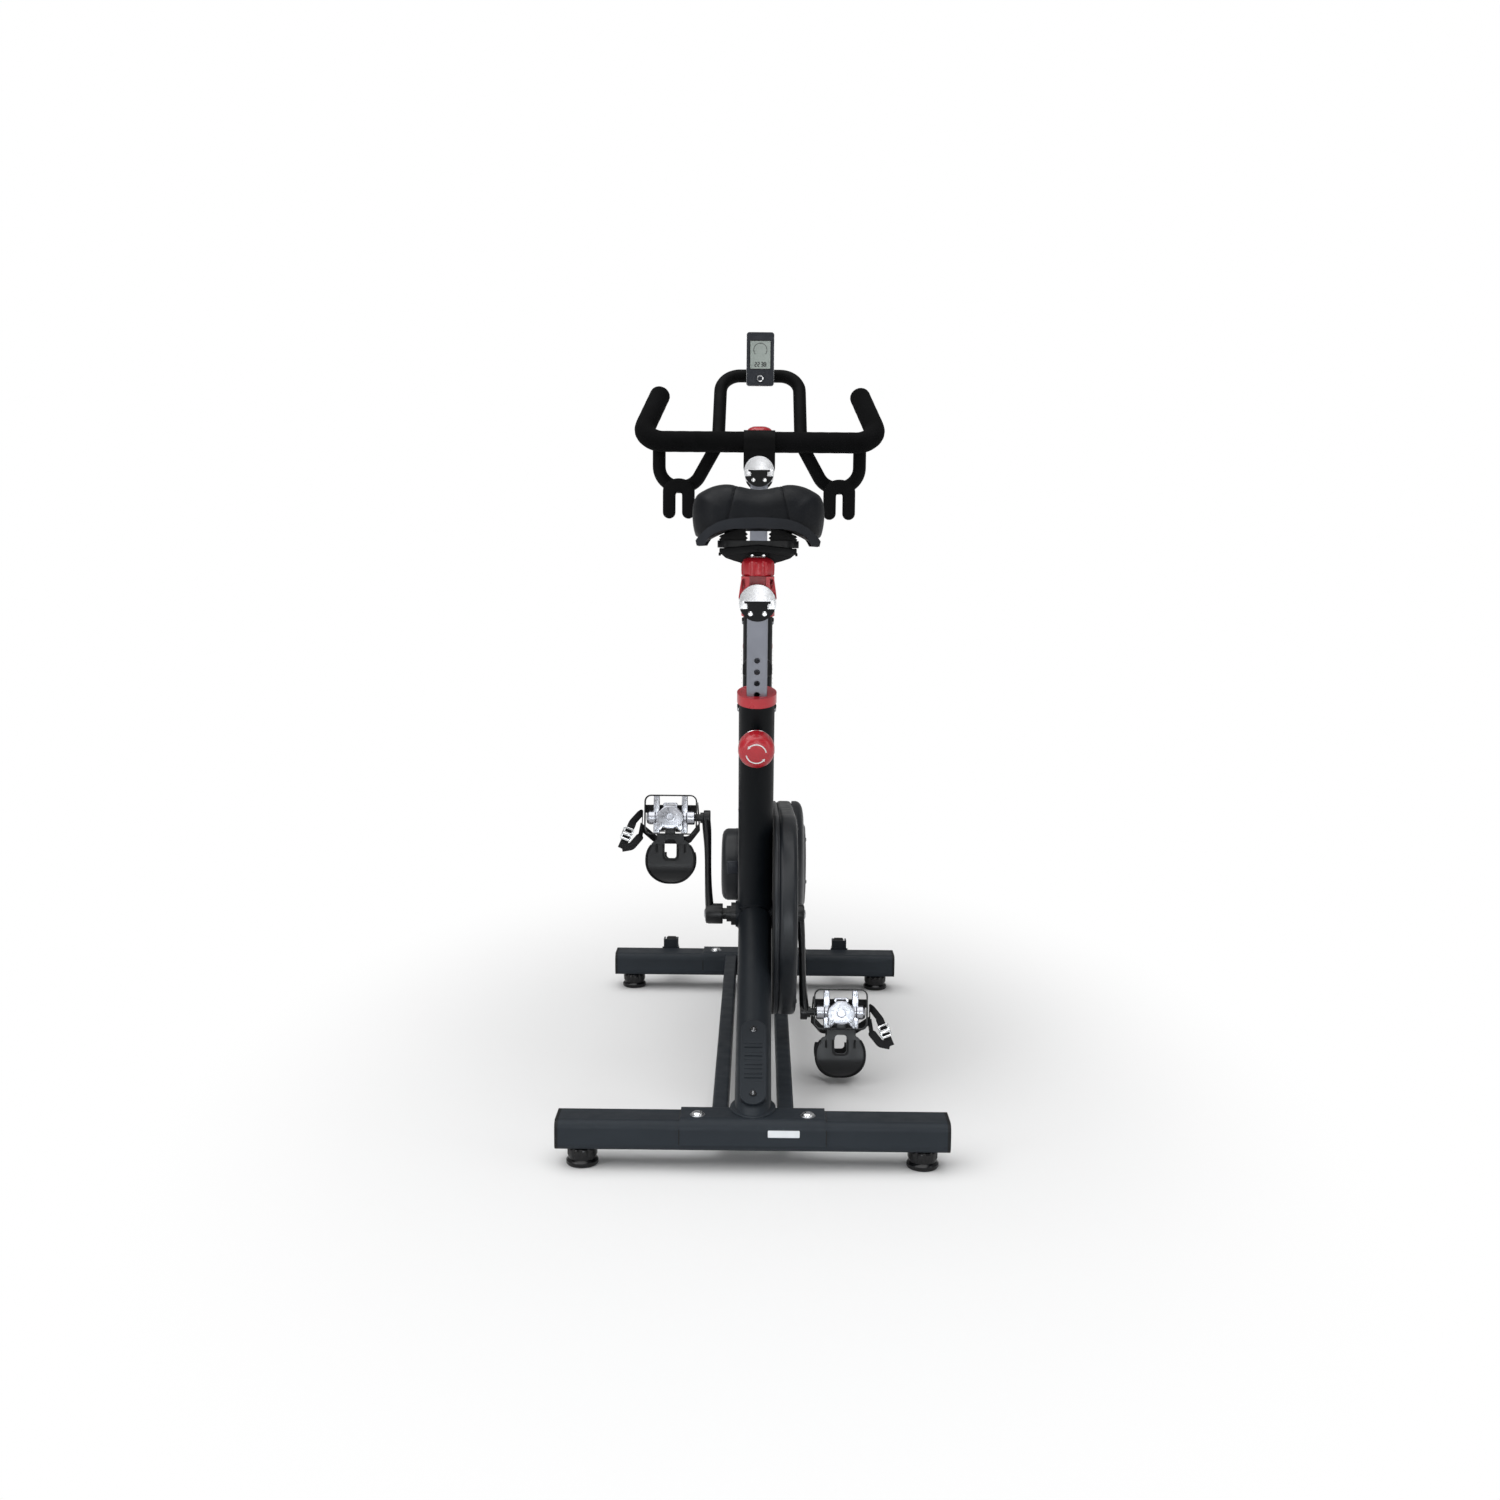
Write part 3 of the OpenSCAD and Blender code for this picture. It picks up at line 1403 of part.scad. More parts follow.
handlebar_lock_knob();
handlebar_pin();
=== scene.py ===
import json
import math

import bmesh
import bpy
from mathutils import Matrix, Vector
from mathutils.bvhtree import BVHTree


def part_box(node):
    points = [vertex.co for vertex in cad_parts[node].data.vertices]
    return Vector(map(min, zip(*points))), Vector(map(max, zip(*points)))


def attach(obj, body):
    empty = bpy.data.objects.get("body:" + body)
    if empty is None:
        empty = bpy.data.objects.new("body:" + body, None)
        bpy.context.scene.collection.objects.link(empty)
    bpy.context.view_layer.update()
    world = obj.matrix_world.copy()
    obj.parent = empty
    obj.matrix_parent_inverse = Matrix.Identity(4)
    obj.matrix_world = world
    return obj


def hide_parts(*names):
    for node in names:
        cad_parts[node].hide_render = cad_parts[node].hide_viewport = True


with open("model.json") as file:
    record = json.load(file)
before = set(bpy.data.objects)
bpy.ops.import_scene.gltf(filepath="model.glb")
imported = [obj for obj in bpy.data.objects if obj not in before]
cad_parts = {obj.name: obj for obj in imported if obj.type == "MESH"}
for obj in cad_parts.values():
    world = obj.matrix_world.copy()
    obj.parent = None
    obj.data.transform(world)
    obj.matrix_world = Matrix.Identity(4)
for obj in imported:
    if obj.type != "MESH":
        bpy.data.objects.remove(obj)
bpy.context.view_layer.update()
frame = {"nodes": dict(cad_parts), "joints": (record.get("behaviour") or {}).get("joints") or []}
nodes = frame["nodes"]
joints = {j["name"]: j for j in frame["joints"]}

X, Y, Z = Vector((1, 0, 0)), Vector((0, 1, 0)), Vector((0, 0, 1))
SIDES = (("left", -1), ("right", 1))

crank_at = Vector(joints["crank_spin"]["pos_m"])
axle_at = Vector(joints["flywheel_spin"]["pos_m"])
post_up = Vector(joints["seat_height_slide"]["axis"])
stem_up = Vector(joints["handlebar_height_slide"]["axis"])
pedal_at = {s: Vector(joints[s + "_pedal_spin"]["pos_m"]) for s, _ in SIDES}
for side, at in pedal_at.items():  # on its spindle, at the middle of its body
    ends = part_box(side + "_pedal_body")
    at.x = (ends[0][0] + ends[1][0]) / 2


# ---------- camera, light and floor ----------

CAMERA_AT = (0.0034, -2.9458, 0.9258)
CAMERA_TURN, CAMERA_DROP, CAMERA_ROLL = 0.298, 6.78, 0.5  # degrees
CAMERA_LENS, CAMERA_SENSOR = 38.88, 36  # mm

SKY_GLOW, SKY_SEEN = 0.3, 1.0  # the world's strength on the bike, and behind it
SUN_POWER, SUN_WIDTH, SUN_LEAN = 2.7, 80, (14, -12, 0)  # width and lean in degrees
LOW_BOX_SPREAD = 50  # degrees
# Soft lights: name, place, aim, width and height, watts, colour
SOFTBOXES = (
    ("left_box", (-2.6, -2.8, 1.5), (0, -0.3, 0.7), (0.8, 2.6), 22, (1, 1, 1)),
    ("right_box", (3.0, -2.0, 1.4), (0, 0, 0.7), (0.6, 2.2), 12, (1, 1, 1)),
    ("camera_box", (0.2, -4.6, 1.5), (0, 0, 0.7), (0.5, 2.0), 10, (1, 1, 1)),
    ("low_box", (0.1, -2.7, 0.4), (0, -0.55, 0.05), (1.6, 0.3), 1.3, (0.9, 0.96, 1.0)),
)

PAPER = (0.73, 0.73, 0.73, 1)
# The paper runs out to white between these shares of an oval about the bike
PAPER_OVAL, PAPER_FADE = (1.7, 0.95, 0), (0.6, 1.75)


def set_camera():
    bpy.ops.object.camera_add(location=CAMERA_AT)
    camera = bpy.context.object
    camera.data.lens = CAMERA_LENS
    camera.data.sensor_width = CAMERA_SENSOR
    turn = Matrix.Rotation(math.radians(CAMERA_TURN), 4, "Z")
    tip = Matrix.Rotation(math.radians(90 - CAMERA_DROP), 4, "X")
    roll = Matrix.Rotation(math.radians(CAMERA_ROLL), 4, "Z")
    camera.matrix_world = Matrix.Translation(CAMERA_AT) @ turn @ tip @ roll
    camera.data.clip_end = 100
    bpy.context.scene.camera = camera


def softbox(name, at, target, size, power, colour):
    bpy.ops.object.light_add(type="AREA", location=at)
    light = bpy.context.object
    light.name = name
    light.data.shape = "RECTANGLE"
    light.data.size, light.data.size_y = size
    light.data.energy = power
    light.data.color = colour
    aim = (Vector(target) - Vector(at)).to_track_quat("-Z", "Y")
    light.rotation_euler = aim.to_euler()
    return light


def set_light():
    world = bpy.data.worlds.new("studio")
    bpy.context.scene.world = world
    world.use_nodes = True
    tree = world.node_tree
    sky = tree.nodes["Background"]
    sky.inputs["Color"].default_value = (1, 1, 1, 1)
    seen = tree.nodes.new("ShaderNodeLightPath").outputs["Is Camera Ray"]
    glow = tree.nodes.new("ShaderNodeMapRange")
    glow.inputs["To Min"].default_value = SKY_GLOW
    glow.inputs["To Max"].default_value = SKY_SEEN
    tree.links.new(seen, glow.inputs["Value"])
    tree.links.new(glow.outputs["Result"], sky.inputs["Strength"])
    bpy.ops.object.light_add(type="SUN", location=(0, 0, 4))
    sun = bpy.context.object
    sun.name = "overhead_light"
    sun.data.energy = SUN_POWER
    sun.data.angle = math.radians(SUN_WIDTH)
    sun.rotation_euler = [math.radians(turn) for turn in SUN_LEAN]
    boxes = [softbox(*row) for row in SOFTBOXES]
    boxes[-1].data.spread = math.radians(LOW_BOX_SPREAD)
    bpy.context.scene.view_settings.view_transform = "Standard"


def studio_white():
    """Matt paper that keeps the soft shadow near the base and runs out to white."""
    material = bpy.data.materials.new("studio_white")
    material.use_nodes = True
    tree = material.node_tree
    paper = tree.nodes["Principled BSDF"]
    paper.inputs["Base Color"].default_value = PAPER
    paper.inputs["Roughness"].default_value = 0.9
    paper.inputs["Specular IOR Level"].default_value = 0.1
    where = tree.nodes.new("ShaderNodeTexCoord").outputs["Object"]
    oval = tree.nodes.new("ShaderNodeMapping")
    oval.inputs["Scale"].default_value = PAPER_OVAL
    tree.links.new(where, oval.inputs["Vector"])
    reach = tree.nodes.new("ShaderNodeVectorMath")
    reach.operation = "LENGTH"
    tree.links.new(oval.outputs["Vector"], reach.inputs[0])
    fade = tree.nodes.new("ShaderNodeMapRange")
    fade.interpolation_type = "SMOOTHSTEP"
    fade.inputs["From Min"].default_value, fade.inputs["From Max"].default_value = PAPER_FADE
    tree.links.new(reach.outputs["Value"], fade.inputs["Value"])
    seen = tree.nodes.new("ShaderNodeMath")
    seen.operation = "MULTIPLY"
    tree.links.new(fade.outputs["Result"], seen.inputs[0])
    tree.links.new(tree.nodes.new("ShaderNodeLightPath").outputs["Is Camera Ray"], seen.inputs[1])
    white = tree.nodes.new("ShaderNodeEmission")
    mix = tree.nodes.new("ShaderNodeMixShader")
    tree.links.new(seen.outputs["Value"], mix.inputs["Fac"])
    tree.links.new(paper.outputs["BSDF"], mix.inputs[1])
    tree.links.new(white.outputs["Emission"], mix.inputs[2])
    tree.links.new(mix.outputs["Shader"], tree.nodes["Material Output"].inputs["Surface"])
    return material


def set_floor():
    bpy.ops.mesh.primitive_plane_add(size=60, location=(0, 20, -0.0005))
    floor = bpy.context.object
    floor.name = "studio_floor"
    bpy.ops.object.transform_apply(location=True, rotation=True, scale=True)
    floor.data.materials.append(studio_white())


# ---------- shaping tools ----------


def nothing_selected():
    active = bpy.context.view_layer.objects.active
    if active and active.mode != "OBJECT":
        bpy.ops.object.mode_set(mode="OBJECT")
    bpy.ops.object.select_all(action="DESELECT")


def hold(piece):
    nothing_selected()
    piece.select_set(True)
    bpy.context.view_layer.objects.active = piece


def settle(piece):
    """Puts a piece's place, turn and size into its mesh."""
    hold(piece)
    bpy.ops.object.transform_apply(location=True, rotation=True, scale=True)
    return piece


def start(kind, name, **size):
    nothing_selected()
    getattr(bpy.ops.mesh, "primitive_" + kind + "_add")(**size)
    piece = bpy.context.object
    piece.name = piece.data.name = name
    return settle(piece)


def shape(piece, kind="VERT"):
    """Opens a piece in edit mode with nothing picked."""
    hold(piece)
    bpy.ops.object.mode_set(mode="EDIT")
    bpy.ops.mesh.select_mode(type=kind)
    bpy.ops.mesh.select_all(action="DESELECT")


def done():
    bpy.ops.object.mode_set(mode="OBJECT")


def modify(piece, kind, **settings):
    hold(piece)
    step = piece.modifiers.new(kind.lower(), kind)
    for name, value in settings.items():
        setattr(step, name, value)
    bpy.ops.object.modifier_apply(modifier=step.name)
    return piece


def smooth(piece, angle=35):
    hold(piece)
    bpy.ops.object.shade_smooth_by_angle(angle=math.radians(angle))
    return piece


def rounded(piece, width, segments=3, angle=40):
    modify(piece, "BEVEL", width=width, segments=segments, limit_method="ANGLE",
           angle_limit=math.radians(angle), harden_normals=False)
    return smooth(piece)


def tidy_skin(piece):
    """Merges doubled points and turns every face outwards."""
    shape(piece)
    bpy.ops.mesh.select_all(action="SELECT")
    bpy.ops.mesh.remove_doubles(threshold=1e-6)
    bpy.ops.mesh.normals_make_consistent(inside=False)
    done()
    return piece


def turn_to(piece, at=(0, 0, 0), along=Z, up=None):
    """Carries a piece drawn on +Z to a place, with its length along a direction."""
    along = Vector(along).normalized()
    side = Vector(up).cross(along) if up is not None else Vector(
        (1, 0, 0) if abs(along.x) < 0.9 else (0, 1, 0))
    side = (side - side.dot(along) * along).normalized()
    other = along.cross(side)
    turn = Matrix((side, other, along)).transposed().to_4x4()
    piece.matrix_world = Matrix.Translation(Vector(at)) @ turn
    return settle(piece)


def block(name, low, high, edge=0.0, segments=3):
    low, high = Vector(low), Vector(high)
    piece = start("cube", name, size=1, location=(low + high) / 2, scale=high - low)
    return rounded(piece, edge, segments) if edge else smooth(piece)


def turned(name, rings, sides=48, at=(0, 0, 0), along=Z, up=None):
    """Turns a closed shape on a lathe. Rings are (radius, height)."""
    first = rings[0]
    piece = start("circle", name, vertices=sides, radius=first[0], location=(0, 0, first[1]),
                  fill_type="NOTHING")
    shape(piece, "EDGE")
    bpy.ops.mesh.select_all(action="SELECT")
    for low, high in zip(rings, rings[1:]):
        bpy.ops.mesh.extrude_edges_move(TRANSFORM_OT_translate={"value": (0, 0, high[1] - low[1])})
        grow = high[0] / low[0]
        bpy.ops.transform.resize(value=(grow, grow, 1))
    bpy.ops.mesh.select_all(action="SELECT")
    bpy.ops.mesh.fill_holes(sides=0)
    bpy.ops.mesh.select_all(action="SELECT")
    bpy.ops.mesh.normals_make_consistent(inside=False)
    done()
    return smooth(turn_to(piece, at, along, up))


def arc(centre, radius, start_angle, end_angle, steps):
    out = []
    for k in range(steps + 1):
        a = math.radians(start_angle + (end_angle - start_angle) * k / steps)
        out.append((centre[0] + radius * math.cos(a), centre[1] + radius * math.sin(a)))
    return out


def bend_path(points, radius, steps=10):
    """Rounds every inner corner of a path."""
    points = [Vector(p) for p in points]
    out = [points[0]]
    for a, b, c in zip(points, points[1:], points[2:]):
        u, v = (a - b).normalized(), (c - b).normalized()
        half = u.angle(v) / 2
        centre = b + (u + v).normalized() * radius / math.sin(half)
        s = b + u * radius / math.tan(half) - centre
        e = b + v * radius / math.tan(half) - centre
        turn = math.pi - 2 * half
        for k in range(steps + 1):
            t = k / steps
            out.append(centre + (math.sin((1 - t) * turn) * s + math.sin(t * turn) * e)
                       / math.sin(turn))
    return out + [points[-1]]


def drawn(name, lines, girths=None, closed=False, **settings):
    """Draws lines of straight steps as one curve, and makes a mesh of it."""
    nothing_selected()
    bpy.ops.curve.primitive_nurbs_path_add()
    piece = bpy.context.object
    piece.name = piece.data.name = name
    curve = piece.data
    curve.splines.clear()
    for points in lines:
        line = curve.splines.new("POLY")
        line.points.add(len(points) - 1)
        for k, (knot, place) in enumerate(zip(line.points, points)):
            knot.co = (*place, 1)
            knot.radius = girths[k] if girths else 1
        line.use_cyclic_u = closed
    for setting, value in settings.items():
        setattr(curve, setting, value)
    hold(piece)
    bpy.ops.object.convert(target="MESH")
    piece = bpy.context.object
    piece.matrix_world = Matrix.Identity(4)
    return piece


def tapered(name, path, girths, radius, sides=28, closed=False):
    """A solid round bar along a path whose girth changes from knot to knot."""
    piece = drawn(name, [path], girths, closed, dimensions="3D", bevel_depth=radius,
                  bevel_resolution=max(0, sides // 4 - 1), use_fill_caps=not closed)
    return smooth(tidy_skin(piece), 50)


def pipe(name, points, radius, sides=24, closed=False, ripple=0.0):
    """A round bar drawn along points; ripple makes every second ring slimmer."""
    girths = [1 - ripple * (k % 2) for k in range(len(points))]
    return tapered(name, points, girths, radius, sides, closed)


def join(name, *pieces):
    nothing_selected()
    for piece in pieces:
        piece.select_set(True)
    bpy.context.view_layer.objects.active = pieces[0]
    bpy.ops.object.join()
    piece = bpy.context.object
    piece.name = piece.data.name = name
    return piece


def copied(piece, name):
    hold(piece)
    bpy.ops.object.duplicate()
    twin = bpy.context.object
    twin.name = twin.data.name = name
    return twin


def moved(piece, by):
    piece.location = by
    return settle(piece)


def carve(piece, tool, operation):
    modify(piece, "BOOLEAN", object=tool, operation=operation, solver="EXACT")
    bpy.data.objects.remove(tool)


def cut_away(piece, *tools):
    for tool in tools:
        carve(piece, tool, "DIFFERENCE")
    return smooth(piece)


def fluted(piece, count, reach, scoop, low_end, high_end, sides, offset=0.0):
    """Cuts round grooves down the side of a turned piece, for the fingers."""
    grooves = []
    for k in range(count):
        a = math.tau * (k + offset) / count
        grooves.append(turned("flute", [(scoop, low_end), (scoop, high_end)], sides,
                              at=(math.cos(a) * reach, math.sin(a) * reach, 0)))
    return cut_away(piece, join("flutes", *grooves))


def kept_inside(piece, tool, width, segments):
    """Keeps what lies inside the tool, and rounds the new edges."""
    carve(piece, tool, "INTERSECT")
    return rounded(tidy_skin(piece), width, segments, 42)


def fit(piece, body, slot, material, *replaced):
    """Gives a piece its finish and the body that it moves with."""
    piece.data.materials.clear()
    piece.data.materials.append(material)
    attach(piece, body)
    if replaced:
        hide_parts(*replaced)
    return piece


# ---------- finishes ----------


class Finish:
    """Builds one procedural material on object coordinates."""

    def __init__(self, name, rough, metal=0.0, specular=0.5):
        self.material = bpy.data.materials.new(name)
        self.material.use_nodes = True
        self.tree = self.material.node_tree
        self.shader = self.tree.nodes["Principled BSDF"]
        self.shader.inputs["Roughness"].default_value = rough
        self.shader.inputs["Metallic"].default_value = metal
        self.shader.inputs["Specular IOR Level"].default_value = specular
        self.where = self.node("ShaderNodeTexCoord").outputs["Object"]
        self.normal = None

    def node(self, kind, **settings):
        made = self.tree.nodes.new(kind)
        for name, value in settings.items():
            setattr(made, name, value)
        return made

    def link(self, a, b):
        self.tree.links.new(a, b)

    def stretch(self, scale, turn=(0, 0, 0)):
        step = self.node("ShaderNodeMapping")
        step.inputs["Scale"].default_value = scale
        step.inputs["Rotation"].default_value = turn
        self.link(self.where, step.inputs["Vector"])
        return step.outputs["Vector"]

    def noise(self, scale, detail=3.0, rough=0.5, where=None):
        step = self.node("ShaderNodeTexNoise")
        step.inputs["Scale"].default_value = scale
        step.inputs["Detail"].default_value = detail
        step.inputs["Roughness"].default_value = rough
        self.link(where or self.where, step.inputs["Vector"])
        return step.outputs["Fac"]

    def cells(self, scale, where=None, feature="F1"):
        step = self.node("ShaderNodeTexVoronoi", feature=feature)
        step.inputs["Scale"].default_value = scale
        self.link(where or self.where, step.inputs["Vector"])
        return step.outputs["Distance"]

    def ramp(self, value, *stops):
        step = self.node("ShaderNodeValToRGB")
        elements = step.color_ramp.elements
        while len(elements) < len(stops):
            elements.new(0.5)
        for element, (place, colour) in zip(elements, stops):
            element.position = place
            element.color = (*colour, 1) if len(colour) == 3 else colour
        self.link(value, step.inputs["Fac"])
        return step.outputs["Color"]

    def spread(self, value, low, high, from_low=0.3, from_high=0.7):
        step = self.node("ShaderNodeMapRange")
        step.inputs["From Min"].default_value = from_low
        step.inputs["From Max"].default_value = from_high
        step.inputs["To Min"].default_value = low
        step.inputs["To Max"].default_value = high
        self.link(value, step.inputs["Value"])
        return step.outputs["Result"]

    def colour(self, value):
        self.link(value, self.shader.inputs["Base Color"])
        return self

    def rough(self, value, low, high):
        self.link(self.spread(value, low, high), self.shader.inputs["Roughness"])
        return self

    def bump(self, height, strength, depth):
        step = self.node("ShaderNodeBump")
        step.inputs["Strength"].default_value = strength
        step.inputs["Distance"].default_value = depth
        self.link(height, step.inputs["Height"])
        if self.normal:
            self.link(self.normal, step.inputs["Normal"])
        self.normal = step.outputs["Normal"]
        self.link(self.normal, self.shader.inputs["Normal"])
        return self

    def coat(self, weight, rough):
        self.shader.inputs["Coat Weight"].default_value = weight
        self.shader.inputs["Coat Roughness"].default_value = rough
        return self


def tint(colour, factor):
    return tuple(min(1.0, c * factor) for c in colour)


def painted(name, colour, rough, grain=900, depth=0.00006, specular=0.5, coat=0.0):
    """Powder coat or moulded plastic: fine grain, faint cloudiness and wear."""
    f = Finish(name, rough, specular=specular)
    cloud = f.noise(9, 4)
    f.colour(f.ramp(cloud, (0.35, tint(colour, 0.86)), (0.62, tint(colour, 1.14))))
    f.rough(f.noise(38, 3), rough - 0.05, rough + 0.07)
    f.bump(f.noise(grain, 2), 0.5, depth)
    if coat:
        f.coat(coat, 0.2)
    return f.material


def frame_coat():
    """Blue-black powder coat with a painted sheen: lighter towards the floor and darker up the
    tubes, standing in for how the light falls.
    """
    f = Finish("frame_powder_painted_sheen", 0.42, specular=0.13)
    split = f.node("ShaderNodeSeparateXYZ")
    f.link(f.where, split.inputs["Vector"])
    # Height above the floor with a little noise, which sets the painted sheen
    sheen_height = f.node("ShaderNodeMath", operation="MULTIPLY_ADD")
    f.link(f.noise(9, 4), sheen_height.inputs[0])
    sheen_height.inputs[1].default_value = 0.1
    f.link(split.outputs["Z"], sheen_height.inputs[2])
    height = f.spread(sheen_height.outputs["Value"], 0, 1, 0.1, 0.62)
    # Painted sheen and shade by height: the lightest colour at the floor, the darkest high on the
    # tubes
    f.colour(f.ramp(height, (0.0, (0.019, 0.0235, 0.029)), (0.25, (0.0105, 0.0132, 0.0165)),
                    (0.6, (0.004, 0.0054, 0.0072)), (1.0, (0.0014, 0.0022, 0.0032))))
    f.rough(f.noise(38, 3), 0.37, 0.49)
    f.bump(f.noise(1100, 2), 0.5, 0.00007)
    return f.material


def brushed(name, colour, rough, turn=0.0, lines=(1500, 1500, 9), metal=1.0):
    """Drawn or brushed metal with fine lines along one direction."""
    f = Finish(name, rough, metal)
    strokes = f.noise(1, 2, where=f.stretch(lines, (turn, 0, 0)))
    cloud = f.noise(14, 3)
    f.colour(f.ramp(cloud, (0.35, tint(colour, 0.9)), (0.65, tint(colour, 1.06))))
    f.rough(strokes, rough - 0.07, rough + 0.1)
    f.bump(strokes, 0.35, 0.00004)
    return f.material


def leather():
    """Stitched synthetic leather with a fine pebble grain."""
    colour = (0.0036, 0.0046, 0.0066)
    f = Finish("saddle_leather", 0.44, specular=0.18)
    cloud = f.noise(16, 5)
    f.colour(f.ramp(cloud, (0.3, tint(colour, 0.72)), (0.7, tint(colour, 1.3))))
    f.rough(f.noise(60, 3), 0.4, 0.55)
    f.bump(f.cells(900), 0.55, 0.00022)
    f.bump(f.noise(220, 4), 0.3, 0.0003)
    return f.material


def foam():
    """Closed-cell grip foam with open pores in its skin."""
    colour = (0.0026, 0.0027, 0.003)
    f = Finish("grip_foam", 0.92, specular=0.09)
    cloud = f.noise(22, 4)
    f.colour(f.ramp(cloud, (0.3, tint(colour, 0.7)), (0.7, tint(colour, 1.45))))
    f.bump(f.cells(1300), 0.8, 0.0004)
    f.bump(f.noise(300, 4), 0.35, 0.0004)
    return f.material


def machined_iron():
    """Black casting with a bright turned rim, ringed about the flywheel axle."""
    f = Finish("flywheel_iron", 0.4, 0.0)
    shift = f.node("ShaderNodeMapping")
    shift.inputs["Location"].default_value = -axle_at
    f.link(f.where, shift.inputs["Vector"])
    split = f.node("ShaderNodeSeparateXYZ")
    f.link(shift.outputs["Vector"], split.inputs["Vector"])
    flat = f.node("ShaderNodeCombineXYZ")
    f.link(split.outputs["Y"], flat.inputs["Y"])
    f.link(split.outputs["Z"], flat.inputs["Z"])
    reach = f.node("ShaderNodeVectorMath", operation="LENGTH")
    f.link(flat.outputs["Vector"], reach.inputs[0])
    radius = reach.outputs["Value"]
    rim = f.ramp(f.spread(radius, 0, 1, 0.0, 0.24), (0.0, (0.02, 0.021, 0.023)),
                 (0.93, (0.02, 0.021, 0.023)), (0.94, (0.45, 0.46, 0.47)),
                 (1.0, (0.5, 0.51, 0.52)))
    f.colour(rim)
    f.link(f.spread(radius, 0.0, 1.0, 0.2255, 0.2265), f.shader.inputs["Metallic"])
    rings = f.node("ShaderNodeMath", operation="MULTIPLY")
    f.link(radius, rings.inputs[0])
    rings.inputs[1].default_value = 9000
    wave = f.node("ShaderNodeMath", operation="SINE")
    f.link(rings.outputs["Value"], wave.inputs[0])
    f.rough(f.noise(60, 3), 0.32, 0.46)
    f.bump(wave.outputs["Value"], 0.25, 0.00003)
    f.bump(f.noise(420, 3), 0.35, 0.0001)
    return f.material


def webbing():
    """Woven nylon strap: a twill read from the strap's own UV map."""
    f = Finish("strap_webbing", 0.75, specular=0.3)
    uv = f.node("ShaderNodeTexCoord").outputs["UV"]
    weave = f.node("ShaderNodeTexWave", wave_type="BANDS", bands_direction="DIAGONAL")
    weave.inputs["Scale"].default_value = 95
    f.link(uv, weave.inputs["Vector"])
    f.colour(f.ramp(weave.outputs["Fac"], (0.2, (0.003, 0.003, 0.0035)),
                    (0.8, (0.014, 0.014, 0.016))))
    f.bump(weave.outputs["Fac"], 0.7, 0.00035)
    f.bump(f.noise(1800, 2), 0.4, 0.0001)
    return f.material


def display_glass():
    """Grey-green liquid crystal panel under a clear window."""
    colour = (0.215, 0.26, 0.235)
    f = Finish("display", 0.2)
    f.colour(f.ramp(f.noise(35, 2), (0.35, tint(colour, 0.94)), (0.65, tint(colour, 1.05))))
    f.bump(f.noise(1500, 1), 0.1, 0.00002)
    f.coat(0.6, 0.08)
    return f.material


LEAN = -math.radians(17)  # of the posts' drawn lines
powder = frame_coat()
black_steel = painted("satin_black_steel", (0.0055, 0.006, 0.007), 0.34, 700, 0.00004, 0.3)
moulded = painted("moulded_black", (0.0045, 0.0048, 0.0055), 0.55, 1300, 0.0001, 0.22)
guard_skin = painted("guard_black", (0.0082, 0.0102, 0.013), 0.38, 1000, 0.00005, 0.32)
glossy_black = painted("glossy_black", (0.003, 0.0032, 0.0038), 0.2, 500, 0.00003, 0.35)
rubber = painted("hard_rubber", (0.004, 0.004, 0.0045), 0.5, 800, 0.0001, 0.2)
belt_rubber = painted("belt_rubber", (0.004, 0.004, 0.004), 0.65, 1500, 0.0001, 0.2)
slate = painted("console_slate", (0.019, 0.022, 0.029), 0.36, 900, 0.00004, 0.3)
signal_red = painted("signal_red", (0.43, 0.01, 0.02), 0.3, 600, 0.00004, 0.45, 0.4)
white_print = painted("white_print", (0.72, 0.72, 0.72), 0.5, 600, 0.00003)
dark_print = painted("display_ink", (0.004, 0.005, 0.004), 0.4, 600, 0.00002)
blank_label = painted("blank_label", (0.62, 0.64, 0.66), 0.4, 500, 0.00003)
silver_post = brushed("silver_post", (0.25, 0.262, 0.3), 0.36, LEAN, metal=0.85)
bright_rail = brushed("bright_rail", (0.82, 0.83, 0.85), 0.26, 0.0, (1500, 9, 1500), metal=0.7)
zinc = brushed("zinc_steel", (0.42, 0.43, 0.45), 0.28, 0.0, (300, 900, 900))
alloy = brushed("cast_alloy", (0.47, 0.48, 0.52), 0.3, 0.0, (260, 220, 240))
chrome = brushed("polished_metal", (0.8, 0.81, 0.82), 0.14, 0.0, (400, 400, 400))
dark_red = painted("dark_red", (0.16, 0.006, 0.01), 0.4, 600, 0.00003)
trim_rubber = painted("trim_rubber", (0.0105, 0.0125, 0.0165), 0.6, 900, 0.0001, 0.25)
seam_thread = painted("seam_thread", (0.002, 0.0025, 0.004), 0.6, 2200, 0.0001, 0.2)
soft_black = painted("soft_black", (0.0019, 0.002, 0.0023), 0.62, 1500, 0.00012, 0.09)
saddle_skin = leather()
grip_foam = foam()
iron = machined_iron()
strap_weave = webbing()
lcd = display_glass()

